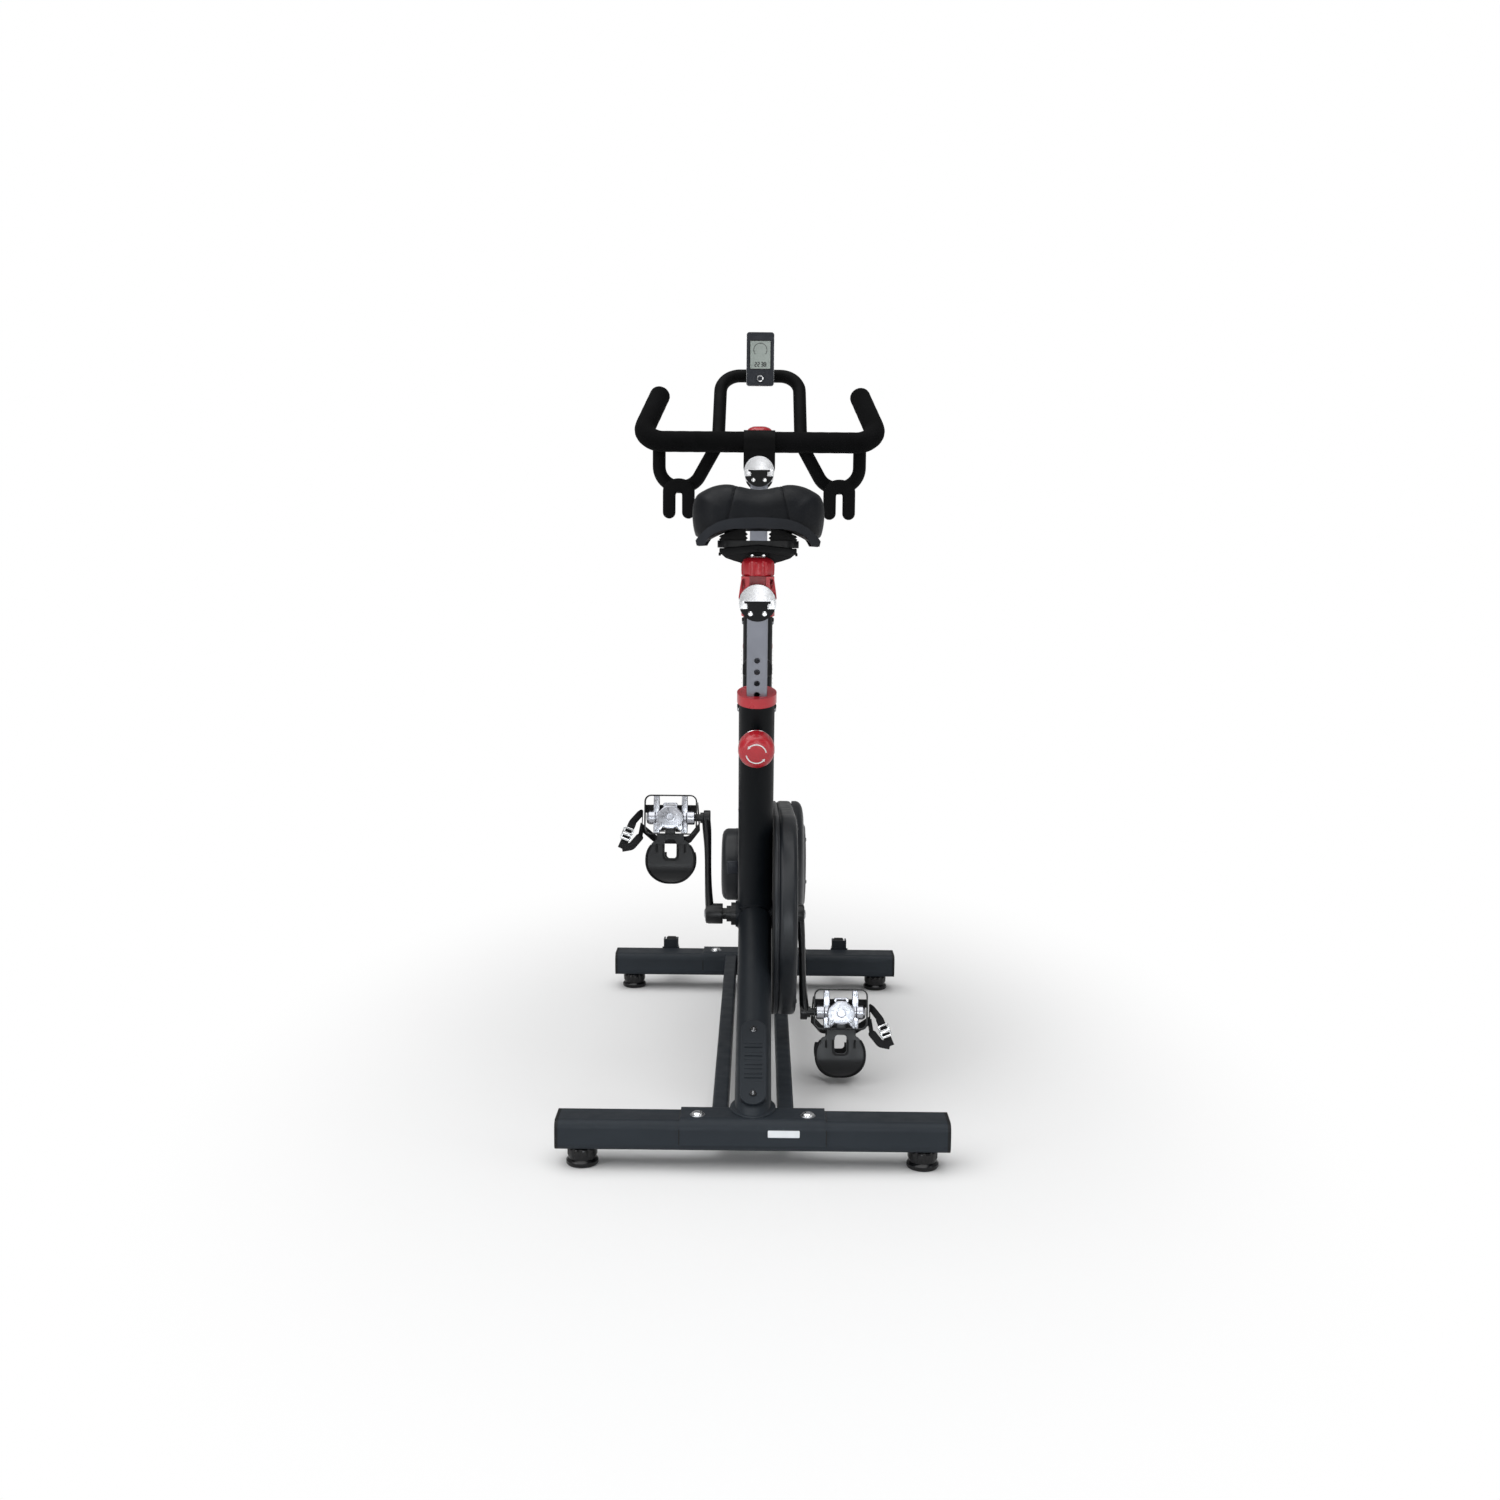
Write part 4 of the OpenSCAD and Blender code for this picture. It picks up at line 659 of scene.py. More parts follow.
# The finish of each CAD node, whether it stays in view or a detailed piece replaces it
NODE_FINISH = {
    powder: ("stabilizers", "base_frame", "seat_tube", "main_beam", "head_tube", "fork",
             "wheel_brackets", "access_cover"),
    moulded: ("stabilizer_caps", "seat_rail_caps", "handlebar_rail_caps",
              "accessory_holders", "saddle_pan", "resistance_knob", "magnet_carrier",
              "drive_pulley", "belt_guard_backplate"),
    zinc: ("frame_bolts", "flywheel_axle"),
    signal_red: ("tube_collars", "saddle_lock_knob", "seat_pin", "handlebar_lock_knob",
                 "handlebar_pin", "saddle_carriage"),
    guard_skin: ("belt_guard", "axle_covers"),
    belt_rubber: ("drive_belt",),
    glossy_black: ("foot_rear_left", "foot_rear_right", "foot_front_left", "foot_front_right"),
    rubber: ("left_wheel", "right_wheel"),
    black_steel: ("left_crank_arm", "right_crank_arm", "left_pedal_cage", "right_pedal_cage",
                  "left_toe_clip", "right_toe_clip", "saddle_bracket", "bearings",
                  "crank_spindle", "pedal_axles", "handlebar_tubes"),
    soft_black: ("handlebar_carriage",),
    alloy: ("left_pedal_body", "right_pedal_body"),
    strap_weave: ("left_toe_strap", "right_toe_strap"),
    iron: ("flywheel",),
    silver_post: ("seat_post", "handlebar_post"),
    bright_rail: ("seat_rail", "handlebar_rail"),
    saddle_skin: ("saddle_pad",),
    grip_foam: ("handlebar_grips",),
    slate: ("console_case",),
    lcd: ("console_screen",),
    chrome: ("console_button",),
}


def finish_nodes():
    for material, names in NODE_FINISH.items():
        for name in names:
            for place in nodes[name].material_slots:
                place.material = material


# ---------- shared places and small hardware ----------

MM = 0.001


def low(node):
    return Vector(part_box(node)[0])


def high(node):
    return Vector(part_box(node)[1])


def mid(node):
    return (low(node) + high(node)) / 2


def mm(*values):
    return Vector(values) * MM


def in_mm(*pairs):
    """A flat outline or a lathe's rings, given in millimetres."""
    return [(a * MM, b * MM) for a, b in pairs]


RAIL_DROP = 9 * MM  # from the middle of a rail's box down to the middle of its round
GRIP_R, BAR_R = 20.5 * MM, 12.7 * MM
# Just proud of the seat tube, the head tube, and the main beam and strut
SEAT_TUBE_R, HEAD_TUBE_R, BEAM_R = 30.2 * MM, 29.2 * MM, 28.6 * MM
# How far up each tube its pull pin and its red collar's screws sit
SEAT_PIN_UP, STEM_PIN_UP = 345 * MM, 440 * MM
SEAT_COLLAR_UP, STEM_COLLAR_UP = 397 * MM, 502 * MM
STABILIZER_TOP = 78 * MM  # above the floor

seat_rail_z = mid("seat_rail").z - RAIL_DROP
bar_rail_z = mid("handlebar_rail").z - RAIL_DROP
bar_y = low("handlebar_grips").y + GRIP_R
bar_z = low("handlebar_grips").z + GRIP_R
loop_top = high("handlebar_tubes").z - BAR_R
strut_foot = Vector((0, mid("foot_rear_left").y, 0)) + mm(0, 20, 76)
strut_head = crank_at + mm(0, -26, -3)


def flat_shape(name, loops, thick, edge=0.0, at=(0, 0, 0), along=Z, up=None, turns=2):
    """A filled outline of even thickness with rounded rims; later loops are holes."""
    piece = drawn(name, [[(u, v, 0) for u, v in loop] for loop in loops], closed=True,
                  dimensions="2D", fill_mode="BOTH", extrude=thick / 2 - edge, bevel_depth=edge,
                  bevel_resolution=turns, offset=-edge)
    return smooth(turn_to(tidy_skin(piece), at, along, up))


def ring_of(radius, steps=48, centre=(0, 0), back=False):
    points = arc(centre, radius, 0, 360, steps)[:-1]
    return points[::-1] if back else points


def soft_box(width, height, radius, centre=(0, 0), back=False, steps=6):
    """Outline of a rectangle with round corners."""
    points = []
    for turn, sx, sy in ((0, 1, 1), (90, -1, 1), (180, -1, -1), (270, 1, -1)):
        middle = (centre[0] + sx * (width / 2 - radius), centre[1] + sy * (height / 2 - radius))
        points += arc(middle, radius, turn, turn + 90, steps)
    return points[::-1] if back else points


def round_axle(x, centre, reach, angle):
    """A place on a circle about a cross axle."""
    return Vector((x, centre.y + reach * math.cos(angle), centre.z + reach * math.sin(angle)))


def repeat(pattern, name, places):
    """Copies of one model, each set at a place and turned along a direction."""
    made = []
    for number, (at, along) in enumerate(places):
        twin = copied(pattern, name + "_" + str(number))
        made.append(turn_to(twin, at, along))
    bpy.data.objects.remove(pattern)
    return join(name, *made) if len(made) > 1 else made[0]


def socket_head(radius, tall, key):
    """Domed screw head with a hexagon socket, standing on its seat."""
    head = turned("screw_head", [
        (radius * 0.97, 0), (radius, tall * 0.2), (radius * 0.95, tall * 0.55),
        (radius * 0.78, tall * 0.85), (radius * 0.5, tall)], 32)
    return cut_away(head, turned("socket", [(key, tall * 0.3), (key, tall * 2)], 6))


def cross_head(radius, tall):
    """Pan head with a cross slot."""
    head = turned("pan_head", [
        (radius * 0.96, 0), (radius, tall * 0.3), (radius * 0.86, tall * 0.8),
        (radius * 0.4, tall)], 28)
    slot = block("slot", mm(-0.35, -2.2, 0.5) * (radius / (3 * MM)),
                 mm(0.35, 2.2, 6) * (radius / (3 * MM)))
    cross = copied(slot, "slot_across")
    cross.rotation_euler = (0, 0, math.radians(90))
    return cut_away(head, slot, settle(cross))


def weld(name, at, along, radius, onto_at, onto_along, onto_radius, reach, bead=2.2 * MM):
    """A rippled bead round a tube where it meets the skin of another tube."""
    at, along = Vector(at), Vector(along).normalized()
    onto_at, onto_along = Vector(onto_at), Vector(onto_along).normalized()
    side = X if abs(along.x) < 0.9 else Y
    other = along.cross(side)
    flat = along - along.dot(onto_along) * onto_along
    points = []
    for k in range(96):
        a = math.tau * k / 96
        foot = at + radius * (math.cos(a) * side + math.sin(a) * other)
        rest = foot - onto_at
        rest = rest - rest.dot(onto_along) * onto_along
        square, half = flat.dot(flat), flat.dot(rest)
        room = max(0.0, half * half - square * (rest.dot(rest) - onto_radius ** 2))
        points.append(foot + along * ((reach * math.sqrt(room) - half) / square))
    return pipe(name, points, bead, 8, closed=True, ripple=0.22)


# ---------- frame ----------


def frame_welds():
    """Beads where the tubes meet, and the flange under the strut."""
    beam_foot = crank_at + post_up * 0.2
    beam_head = axle_at + stem_up * 0.35
    beam_way = beam_head - beam_foot
    strut_way = strut_head - strut_foot
    brake_at = Vector((0, mid("resistance_knob").y, beam_foot.z))
    beads = [
        weld("bead_strut", strut_head, strut_way, BEAM_R, crank_at, post_up, SEAT_TUBE_R, -1),
        weld("bead_beam_rear", beam_foot, beam_way, BEAM_R, crank_at, post_up, SEAT_TUBE_R, 1),
        weld("bead_beam_front", beam_head, beam_way, BEAM_R, axle_at, stem_up, HEAD_TUBE_R, -1),
        weld("bead_brake", brake_at, Z, 12 * MM, beam_foot, beam_way, BEAM_R, 1, 1.6 * MM),
    ]
    for side in (-1, 1):
        beads.append(weld("bead_shell", crank_at, X, 23.6 * MM, crank_at, post_up, 30.4 * MM, side,
                          1.8 * MM))
    # Flat oval flange where the strut stands on the rear bracket
    oval = [(u, v * 1.42) for u, v in ring_of(35.5 * MM, 64)]
    skirt = flat_shape("strut_skirt", [oval], 5.6 * MM, 2.2 * MM, strut_foot + mm(0, 4.5, 6), Z, Y)
    fit(join("frame_weld_beads", *beads, skirt), "frame", "frame_paint", powder)


def bracket_bolts():
    out, inset, top = 84 * MM, 15 * MM, STABILIZER_TOP + 3.9 * MM
    rear, front = low("foot_rear_left").y + inset, low("foot_front_left").y + inset
    places = [(Vector((sx * out, y, top)), Z) for sx in (-1, 1) for y in (rear, front)]
    heads = repeat(socket_head(9.4 * MM, 5.2 * MM, 3.2 * MM), "bracket_bolt_heads", places)
    fit(heads, "frame", "zinc_steel", chrome)
    washers = turned("washer", in_mm((11.5, 0), (11.7, 0.5), (11.2, 1.1), (6, 1.2)), 36)
    fit(repeat(washers, "bracket_bolt_washers", [(at - Z * 0.1 * MM, Z) for at, _ in places]),
        "frame", "zinc_steel", zinc)


def bracket_edge_gaps():
    """Dark joint lines where the saddle brackets end on their stabilizers."""
    top, half, face = STABILIZER_TOP, 111.3 * MM, 34.05 * MM
    rear, front = mid("foot_rear_left").y, mid("foot_front_left").y
    parts = []
    for sx in (-1, 1):
        for y in (rear, front):
            for sy in (-1, 1):
                parts.append(flat_shape("face_gap", [soft_box(1.7 * MM, 25 * MM, 0.6 * MM)],
                                        0.4 * MM, 0.1 * MM,
                                        (sx * half, y + sy * face, top - 23.5 * MM), Y * sy, Z))
            parts.append(flat_shape("top_gap", [soft_box(1.7 * MM, 46 * MM, 0.6 * MM)], 0.4 * MM,
                                    0.1 * MM, (sx * half, y, top + 0.05 * MM), Z, Y))
    fit(join("bracket_edge_gaps", *parts), "frame", "black_parts", glossy_black)


def access_cover_face():
    """Ribbed moulded lid over the strut's foot, with its two screws."""
    pitch = 6.2
    way = (strut_head - strut_foot).normalized()
    out = -way.cross(X)
    if out.z < 0:
        out = -out
    centre = strut_foot + way * ((mid("access_cover") - strut_foot).dot(way))
    skin = centre + out * (28.5 + 3.6) * MM  # on the strut, one lid's wall out
    length = (high("access_cover") - low("access_cover")).yz.length
    rim = flat_shape("access_cover_rim", [
        soft_box(41 * MM, length - 1 * MM, 20.4 * MM),
        soft_box(33 * MM, length - 9 * MM, 16.4 * MM, back=True)],
        3 * MM, 1.2 * MM, skin, out, way)
    ribs = [rim]
    rib = flat_shape("rib", [soft_box(32 * MM, 3.4 * MM, 1.5 * MM)], 3 * MM, 1.2 * MM)
    for k in range(-7, 8):
        twin = copied(rib, "rib_copy")
        ribs.append(turn_to(twin, skin + way * (k * pitch * MM), out, way))
    bpy.data.objects.remove(rib)
    fit(join("access_cover_ribs", *ribs), "frame", "black_plastic", powder)
    places = [(skin + way * (s * (length / 2 - 21 * MM)) + out * 0.9 * MM, out) for s in (-1, 1)]
    fit(repeat(cross_head(5.6 * MM, 3.4 * MM), "access_cover_screws", places), "frame",
        "zinc_steel", black_steel)


def levelling_feet():
    """Lobed hand-turned feet with a flared rubber base."""
    pattern = turned("foot_pattern", in_mm(
        (20, 0), (23.4, 0.5), (24.8, 2.6), (24.9, 7), (23.4, 9.2), (21.6, 11), (21.8, 14),
        (23, 16), (23.2, 26.4), (22, 28.4), (18, 29.6), (6, 30.4)), 96)
    fluted(pattern, 12, 25 * MM, 3.4 * MM, 12.5 * MM, 35 * MM, 16)
    rounded(pattern, 0.5 * MM, 2, 35)
    for end in ("rear", "front"):
        for side, _ in SIDES:
            node = "foot_" + end + "_" + side
            place = mid(node)
            twin = turn_to(copied(pattern, end + "_" + side + "_levelling_foot"),
                           (place.x, place.y, 0), Z)
            fit(twin, end + "_" + side + "_foot", "foot_rubber", glossy_black, node)
    bpy.data.objects.remove(pattern)


def end_cap_faces():
    """Moulded end plugs with a raised lip round a sunk panel."""
    ends = []
    for y in (mid("foot_rear_left").y, mid("foot_front_left").y):
        for sx in (-1, 1):
            ends.append(flat_shape("cap_lip", [
                soft_box(66 * MM, 45 * MM, 12 * MM),
                soft_box(57 * MM, 36 * MM, 8 * MM, back=True)],
                2.4 * MM, 1 * MM, (sx * 299 * MM, y, 54.5 * MM), X * sx, Z))
    fit(join("stabilizer_cap_lips", *ends), "frame", "black_plastic", moulded)


def blank_label_plate():
    """Bare pale plate on the rear face, right of the middle."""
    at = (47 * MM, low("base_frame").y - 0.1 * MM, 62.5 * MM)
    plate = flat_shape("rear_label_place", [soft_box(48 * MM, 11 * MM, 1.4 * MM)], 0.5 * MM,
                       0.1 * MM, at, -Y, Z)
    fit(plate, "frame", "black_plastic", blank_label)


# ---------- drive ----------


def guard_outline(grow=0.0, steps=40):
    """Round the crank end and the flywheel end, joined by straight runs."""
    rear, front = 175 * MM + grow, 130 * MM + grow
    gap = (axle_at - crank_at).yz.length
    lean = math.acos((rear - front) / gap)
    slope = math.atan2(axle_at.z - crank_at.z, axle_at.y - crank_at.y)
    points = []
    for k in range(steps + 1):
        a = slope + lean + (math.tau - 2 * lean) * k / steps
        points.append((crank_at.y + rear * math.cos(a), crank_at.z + rear * math.sin(a)))
    for k in range(steps + 1):
        a = slope - lean + 2 * lean * k / steps
        points.append((axle_at.y + front * math.cos(a), axle_at.z + front * math.sin(a)))
    return points


def belt_guard_shell():
    """Two moulded halves with a seam between them, a crank collar and screws."""
    inner, outer = low("belt_guard").x, high("belt_guard").x
    boss = ring_of(27 * MM, 48, (crank_at.y, crank_at.z), back=True)
    split = inner + 7 * MM
    shell = flat_shape("belt_guard_shell", [guard_outline(), boss], outer - split, 9 * MM,
                       ((outer + split) / 2, 0, 0), X, Z, 4)
    tray = flat_shape("belt_guard_tray", [guard_outline(-0.4 * MM), boss],
                      split - inner - 0.8 * MM, 1.2 * MM,
                      ((split + inner - 0.8 * MM) / 2, 0, 0), X, Z)
    seam = flat_shape("belt_guard_seam", [guard_outline(-2.4 * MM), boss], 2.4 * MM, 0.2 * MM,
                      (split, 0, 0), X, Z)
    fit(shell, "frame", "guard_plastic", guard_skin, "belt_guard")
    fit(join("belt_guard_back", tray, seam), "frame", "guard_plastic", guard_skin, "belt_guard")
    rim_at = (outer, crank_at.y, crank_at.z)
    collar = turned("guard_crank_collar", in_mm((31, -2), (31, 1.6), (30, 2.4), (27.4, 2.4)), 64,
                    rim_at, X)
    hole = turned("hole", in_mm((26.4, -30), (26.4, 30)), 64, rim_at, X)
    fit(cut_away(collar, hole), "frame", "guard_plastic", glossy_black)
    rib = flat_shape("guard_panel_line", [guard_outline(-26 * MM), guard_outline(-28 * MM)[::-1]],
                     1.2 * MM, 0.4 * MM, (outer, 0, 0), X, Z)
    fit(rib, "frame", "guard_plastic", guard_skin)
    gap = axle_at - crank_at
    slope = math.atan2(gap.z, gap.y)
    places = []
    for centre, reach, angles in ((crank_at, 160, (100, 145, 190, 235, 275)),
                                  (axle_at, 116, (62, -62))):
        for angle in angles:
            a = slope + math.radians(angle)
            places.append((round_axle(outer - 0.6 * MM, centre, reach * MM, a), X))
    fit(repeat(cross_head(4 * MM, 2.2 * MM), "belt_guard_screws", places), "frame", "zinc_steel",
        black_steel)


def axle_cover_shells():
    """Domed cover on the guard's side, banded cover with a tab on the left."""
    left, right = low("axle_covers").x, high("axle_covers").x
    wide = (high("axle_covers").z - low("axle_covers").z) / 2
    guard = high("belt_guard").x
    hub = turned("right_axle_cover", [
        (wide, 0), (wide, 9 * MM), (wide - 2 * MM, 14 * MM), (wide - 6 * MM, 18 * MM),
        (wide - 14 * MM, 21.5 * MM), (wide - 26 * MM, 23.5 * MM), (wide - 44 * MM, 24.4 * MM),
        (wide - 47 * MM, 25.2 * MM), (wide - 52 * MM, right - guard - 1.2 * MM),
        (wide - 70 * MM, right - guard), (10 * MM, right - guard)], 96,
        (guard, axle_at.y, axle_at.z), X)
    small = 73 * MM
    nave = turned("left_axle_cover", [
        (small, 0), (small, 25 * MM), (small - 1.6 * MM, 30 * MM), (small - 6 * MM, 34.5 * MM),
        (small - 13 * MM, 37 * MM), (small - 26 * MM, 38 * MM), (small - 29 * MM, 36.4 * MM),
        (8 * MM, 36 * MM)], 96,
        (left + 38 * MM, axle_at.y, axle_at.z), -X)
    band = turned("left_cover_band", [
        (small - 1 * MM, 0), (small + 0.6 * MM, 1 * MM), (small + 0.6 * MM, 4 * MM),
        (small - 1 * MM, 5 * MM)], 96, (left + 33 * MM, axle_at.y, axle_at.z), -X)
    fit(join("axle_cover_shells", hub, nave, band), "frame", "guard_plastic", guard_skin,
        "axle_covers")
    tab = block("left_cover_tab", (left + 12 * MM, axle_at.y - small - 1.2 * MM,
                                   axle_at.z - 6 * MM),
                (left + 34 * MM, axle_at.y - small + 14 * MM, axle_at.z + 20 * MM), 2.5 * MM)
    fit(tab, "frame", "guard_plastic", slate)
    places = []
    for x, reach, way, angles in ((right - 0.4 * MM, 52 * MM, X, (90, 210, 330)),
                                  (left + 2.2 * MM, 34 * MM, -X, (30, 150, 270))):
        places += [(round_axle(x, axle_at, reach, math.radians(a)), way) for a in angles]
    fit(repeat(cross_head(4 * MM, 2.2 * MM), "axle_cover_screws", places), "frame", "zinc_steel",
        black_steel)


def crank_arms():
    """Forged arms, bowed and slimmer towards the pedal, with capped crank bolts."""
    for side, sx in SIDES:
        node = side + "_crank_arm"
        way = pedal_at[side] - crank_at
        way.x = 0
        length = way.length
        way.normalize()
        other = way.cross(X)
        flat = 0.57  # the arm's thickness as a share of its width
        path, girth = [], []
        for k in range(29):
            t = k / 28
            bow = 79 + 10 * t + 3.2 * math.sin(math.pi * t) * (1 - 2 * t)
            path.append((bow * MM / flat, 0, t * length))
            girth.append(1.0 - 0.34 * math.sin(math.pi * min(1, t * 1.15)) * (0.5 + 0.5 * t))
        arm = tapered("arm", path, girth, 13.6 * MM)
        arm.scale = (flat, 1, 1)
        settle(arm)
        basis = Matrix((X * sx, other, way)).transposed().to_4x4()
        arm.matrix_world = Matrix.Translation(crank_at) @ basis
        settle(arm)
        inner = (57 if side == "left" else 64.5) * MM
        boss = turned("boss", [
            (17.6 * MM, inner), (18 * MM, inner + 1.5 * MM), (18 * MM, 82 * MM),
            (16.8 * MM, 86.2 * MM), (13.2 * MM, 87.4 * MM), (12.8 * MM, 86 * MM),
            (3 * MM, 86 * MM)], 48, crank_at, X * sx)
        eye = turned("eye", in_mm((12.6, 81), (13.6, 82), (13.6, 92), (12.6, 93), (6, 93)), 40,
                     crank_at + way * length, X * sx)
        fit(tidy_skin(join(side + "_forged_crank", arm, boss, eye)), "cranks", "black_parts",
            black_steel, node)
        smooth(bpy.data.objects[side + "_forged_crank"], 40)
        cap = socket_head(9 * MM, 4 * MM, 4 * MM)
        turn_to(cap, crank_at + X * sx * 85.6 * MM, X * sx)
        cap.name = side + "_crank_bolt"
        fit(cap, "cranks", "zinc_steel", zinc)


# ---------- pedals ----------

PEDAL_TIP = math.radians(-10)


def at_pedal(piece, side, sx):
    """Carries a piece drawn on the pedal's own axes, outboard on +X, to its pedal."""
    hold(piece)
    piece.matrix_world = (Matrix.Translation(pedal_at[side]) @ Matrix.Rotation(PEDAL_TIP, 4, "X")
                          @ Matrix.Diagonal((sx, 1, 1, 1)))
    settle(piece)
    return tidy_skin(piece) if sx < 0 else piece


def pedal_casting():
    """Cast body: axle barrel, two pairs of arms and a shield plate over the cleat spring."""
    parts = [turned("barrel", in_mm(
        (11, -43), (12.6, -42), (12.6, -30), (11.2, -28), (11.2, 26), (12.6, 28), (12.6, 38),
        (10, 42), (5, 43)), 40, along=X)]
    for sx in (-1, 1):
        parts.append(flat_shape("upper_arm", [[
            (sx * 19 * MM, 4 * MM), (sx * 31 * MM, 4 * MM), (sx * 30 * MM, 38.6 * MM),
            (sx * 20 * MM, 38.6 * MM)][::sx]], 10 * MM, 1.6 * MM, (0, -2 * MM, 0), -Y, Z))
        parts.append(flat_shape("lower_arm", [[
            (sx * 19 * MM, -28 * MM), (sx * 30 * MM, -28 * MM), (sx * 31 * MM, -4 * MM),
            (sx * 19 * MM, -4 * MM)][::sx]], 10 * MM, 1.6 * MM, (0, -2 * MM, 0), -Y, Z))
    shield = [(-8, 21), (8, 21), (14, 16), (23, 8), (25, -2), (22, -10), (24, -20), (17, -24),
              (12, -17), (5, -20), (-5, -20), (-12, -17), (-17, -24), (-24, -20), (-22, -10),
              (-25, -2), (-23, 8), (-14, 16)]
    parts.append(flat_shape("shield", [in_mm(*shield[::-1])], 8 * MM, 1.8 * MM,
                            (0, -15 * MM, 0), -Y, Z))
    parts.append(flat_shape("cleat_bridge", [soft_box(26 * MM, 9 * MM, 4 * MM, (0, 22 * MM)),
                                             soft_box(16 * MM, 4 * MM, 1.9 * MM, (0, 21 * MM),
                                                      back=True)],
                            7 * MM, 1.2 * MM, (0, -12 * MM, 0), -Y, Z))
    parts.append(turned("boss_ring", in_mm(
        (9, 0), (9.4, 1), (9, 2.2), (7, 2.4), (6.4, 1.4), (2, 1.2)), 32,
        (0, -19 * MM, 1 * MM), -Y))
    return join("pedal_casting", *parts)


def pedal_cage():
    """Bent plate cage with a toothed rear edge."""
    outer = soft_box(94 * MM, 71 * MM, 12 * MM, (0, 5 * MM))
    inner = soft_box(89.4 * MM, 66.4 * MM, 9.8 * MM, (0, 5 * MM), back=True)
    plate = flat_shape("cage_plate", [outer, inner], 13 * MM, 0.5 * MM, (0, -0.5 * MM, 0), -Y, Z)
    teeth = []
    for k in range(-4, 5):
        for v in (39.4, -29.4):
            teeth.append(block("tooth", mm(k * 8 - 1.6, -8.6, v - 1.1),
                               mm(k * 8 + 1.6, -6.4, v + 1.1), 0.4 * MM, 1))
    return join("pedal_cage_plate", plate, *teeth)


def cleat_spring():
    """Dark spring, jaws and screws at the foot of the shield."""
    parts = [block("jaw", mm(-9, -16, -29), mm(9, -6, -17), 1.5 * MM)]
    for sx in (-1, 1):
        loops = [(sx * 9 * MM, -13 * MM, -22 * MM)]
        for k in range(33):
            a = math.tau * k / 8
            loops.append((sx * (9 + k * 0.28) * MM, (-13 + 3.6 * math.cos(a)) * MM,
                          (-22 + 3.6 * math.sin(a)) * MM))
        parts.append(pipe("coil", loops, 0.9 * MM, 8))
    return join("cleat_spring", *parts)


# Toe cup in mm: its face's depth, where it starts to curl, and the curl's radius
CLIP_FACE, CLIP_BOW, CLIP_TURN = 8, -82, 36


def toe_clip_trim(side, sx):
    """Rolled rim round the toe cup, two stiffening ribs and a lip round its window."""
    rim = []
    for u, v in soft_box(86 * MM, 82 * MM, 39 * MM, (0, -76 * MM), steps=14):
        if v > -48 * MM:
            continue
        drop = max(0.0, CLIP_BOW * MM - v)
        curve = math.sqrt(max(0.0, (CLIP_TURN * MM) ** 2 - drop ** 2))
        rim.append((u, (CLIP_FACE + CLIP_TURN) * MM - curve - 0.4 * MM, v))
    rim.sort(key=lambda p: math.atan2(p[0], -(p[2] + 60 * MM)))
    parts = [pipe("clip_rim", rim, 2.1 * MM, 12)]
    for u in (-25, 25):
        parts.append(block("clip_rib", mm(u - 1.7, 5.4, -63), mm(u + 1.7, 8.4, -33), 1.2 * MM))
    loop = soft_box(29 * MM, 42 * MM, 8 * MM, (0, -56 * MM))
    hole = soft_box(22 * MM, 35 * MM, 5 * MM, (0, -56 * MM), back=True)
    parts.append(flat_shape("window_lip", [loop, hole], 2 * MM, 0.8 * MM, (0, 7.6 * MM, 0), -Y, Z))
    return at_pedal(join(side + "_toe_clip_trim", *parts), side, sx)


# The strap's run from the cage over the toe and down past the buckle, and its return (mm)
STRAP_PATH = [
    (-48.3, -5, 21), (-48.3, 8, 17), (-50, 42, -16), (-30, 79, -40), (30, 79, -40), (54, 40, -18),
    (50, 4, 12), (66, -12, -8), (86, -16, -56)]
STRAP_TAIL = [(85, -16.6, -55), (68, -15, -52), (53, -11, -34), (50, -4, -12)]


def toe_strap(side, sx):
    """Woven strap as one flat band, with its weave on the band's own UV map."""
    runs = [bend_path([mm(*p) for p in STRAP_PATH], 12 * MM, 6),
            bend_path([mm(*p) for p in STRAP_TAIL], 9 * MM, 6)]
    piece = drawn(side + "_strap_band", runs, dimensions="3D", twist_mode="Z_UP",
                  extrude=6.3 * MM, bevel_depth=0.7 * MM, bevel_resolution=1, use_fill_caps=True)
    run = block("strap_run", mm(-47, 0.4, 8), mm(47, 2.2, 22.5), 0.6 * MM, 2)
    run.data.uv_layers[0].name = piece.data.uv_layers[0].name
    return smooth(at_pedal(join(side + "_strap_band", piece, run), side, sx))


def strap_buckle(side, sx):
    """Two-slot buckle with its lever and roller, lying on the strap's run."""
    frame_plate = flat_shape("buckle_frame", [
        soft_box(20 * MM, 24 * MM, 4 * MM), soft_box(13 * MM, 6 * MM, 1.4 * MM, (0, 6 * MM),
                                                     back=True),
        soft_box(13 * MM, 6 * MM, 1.4 * MM, (0, -5 * MM), back=True)], 2.6 * MM, 0.8 * MM)
    lever = block("buckle_lever", mm(-7, -3, 0.5), mm(7, 1.5, 5.5), 1.6 * MM)
    roller = turned("buckle_roller", in_mm((2, -8), (2.6, -7.4), (2.6, 7.4), (2, 8)), 20,
                    mm(0, -9.5, 1.5), X)
    piece = join(side + "_strap_buckle", frame_plate, lever, roller)
    turn_to(piece, mm(76, -17.4, -30), Vector((0.12, -1, 0)), Vector((-0.34, 0, 0.94)))
    return at_pedal(piece, side, sx)


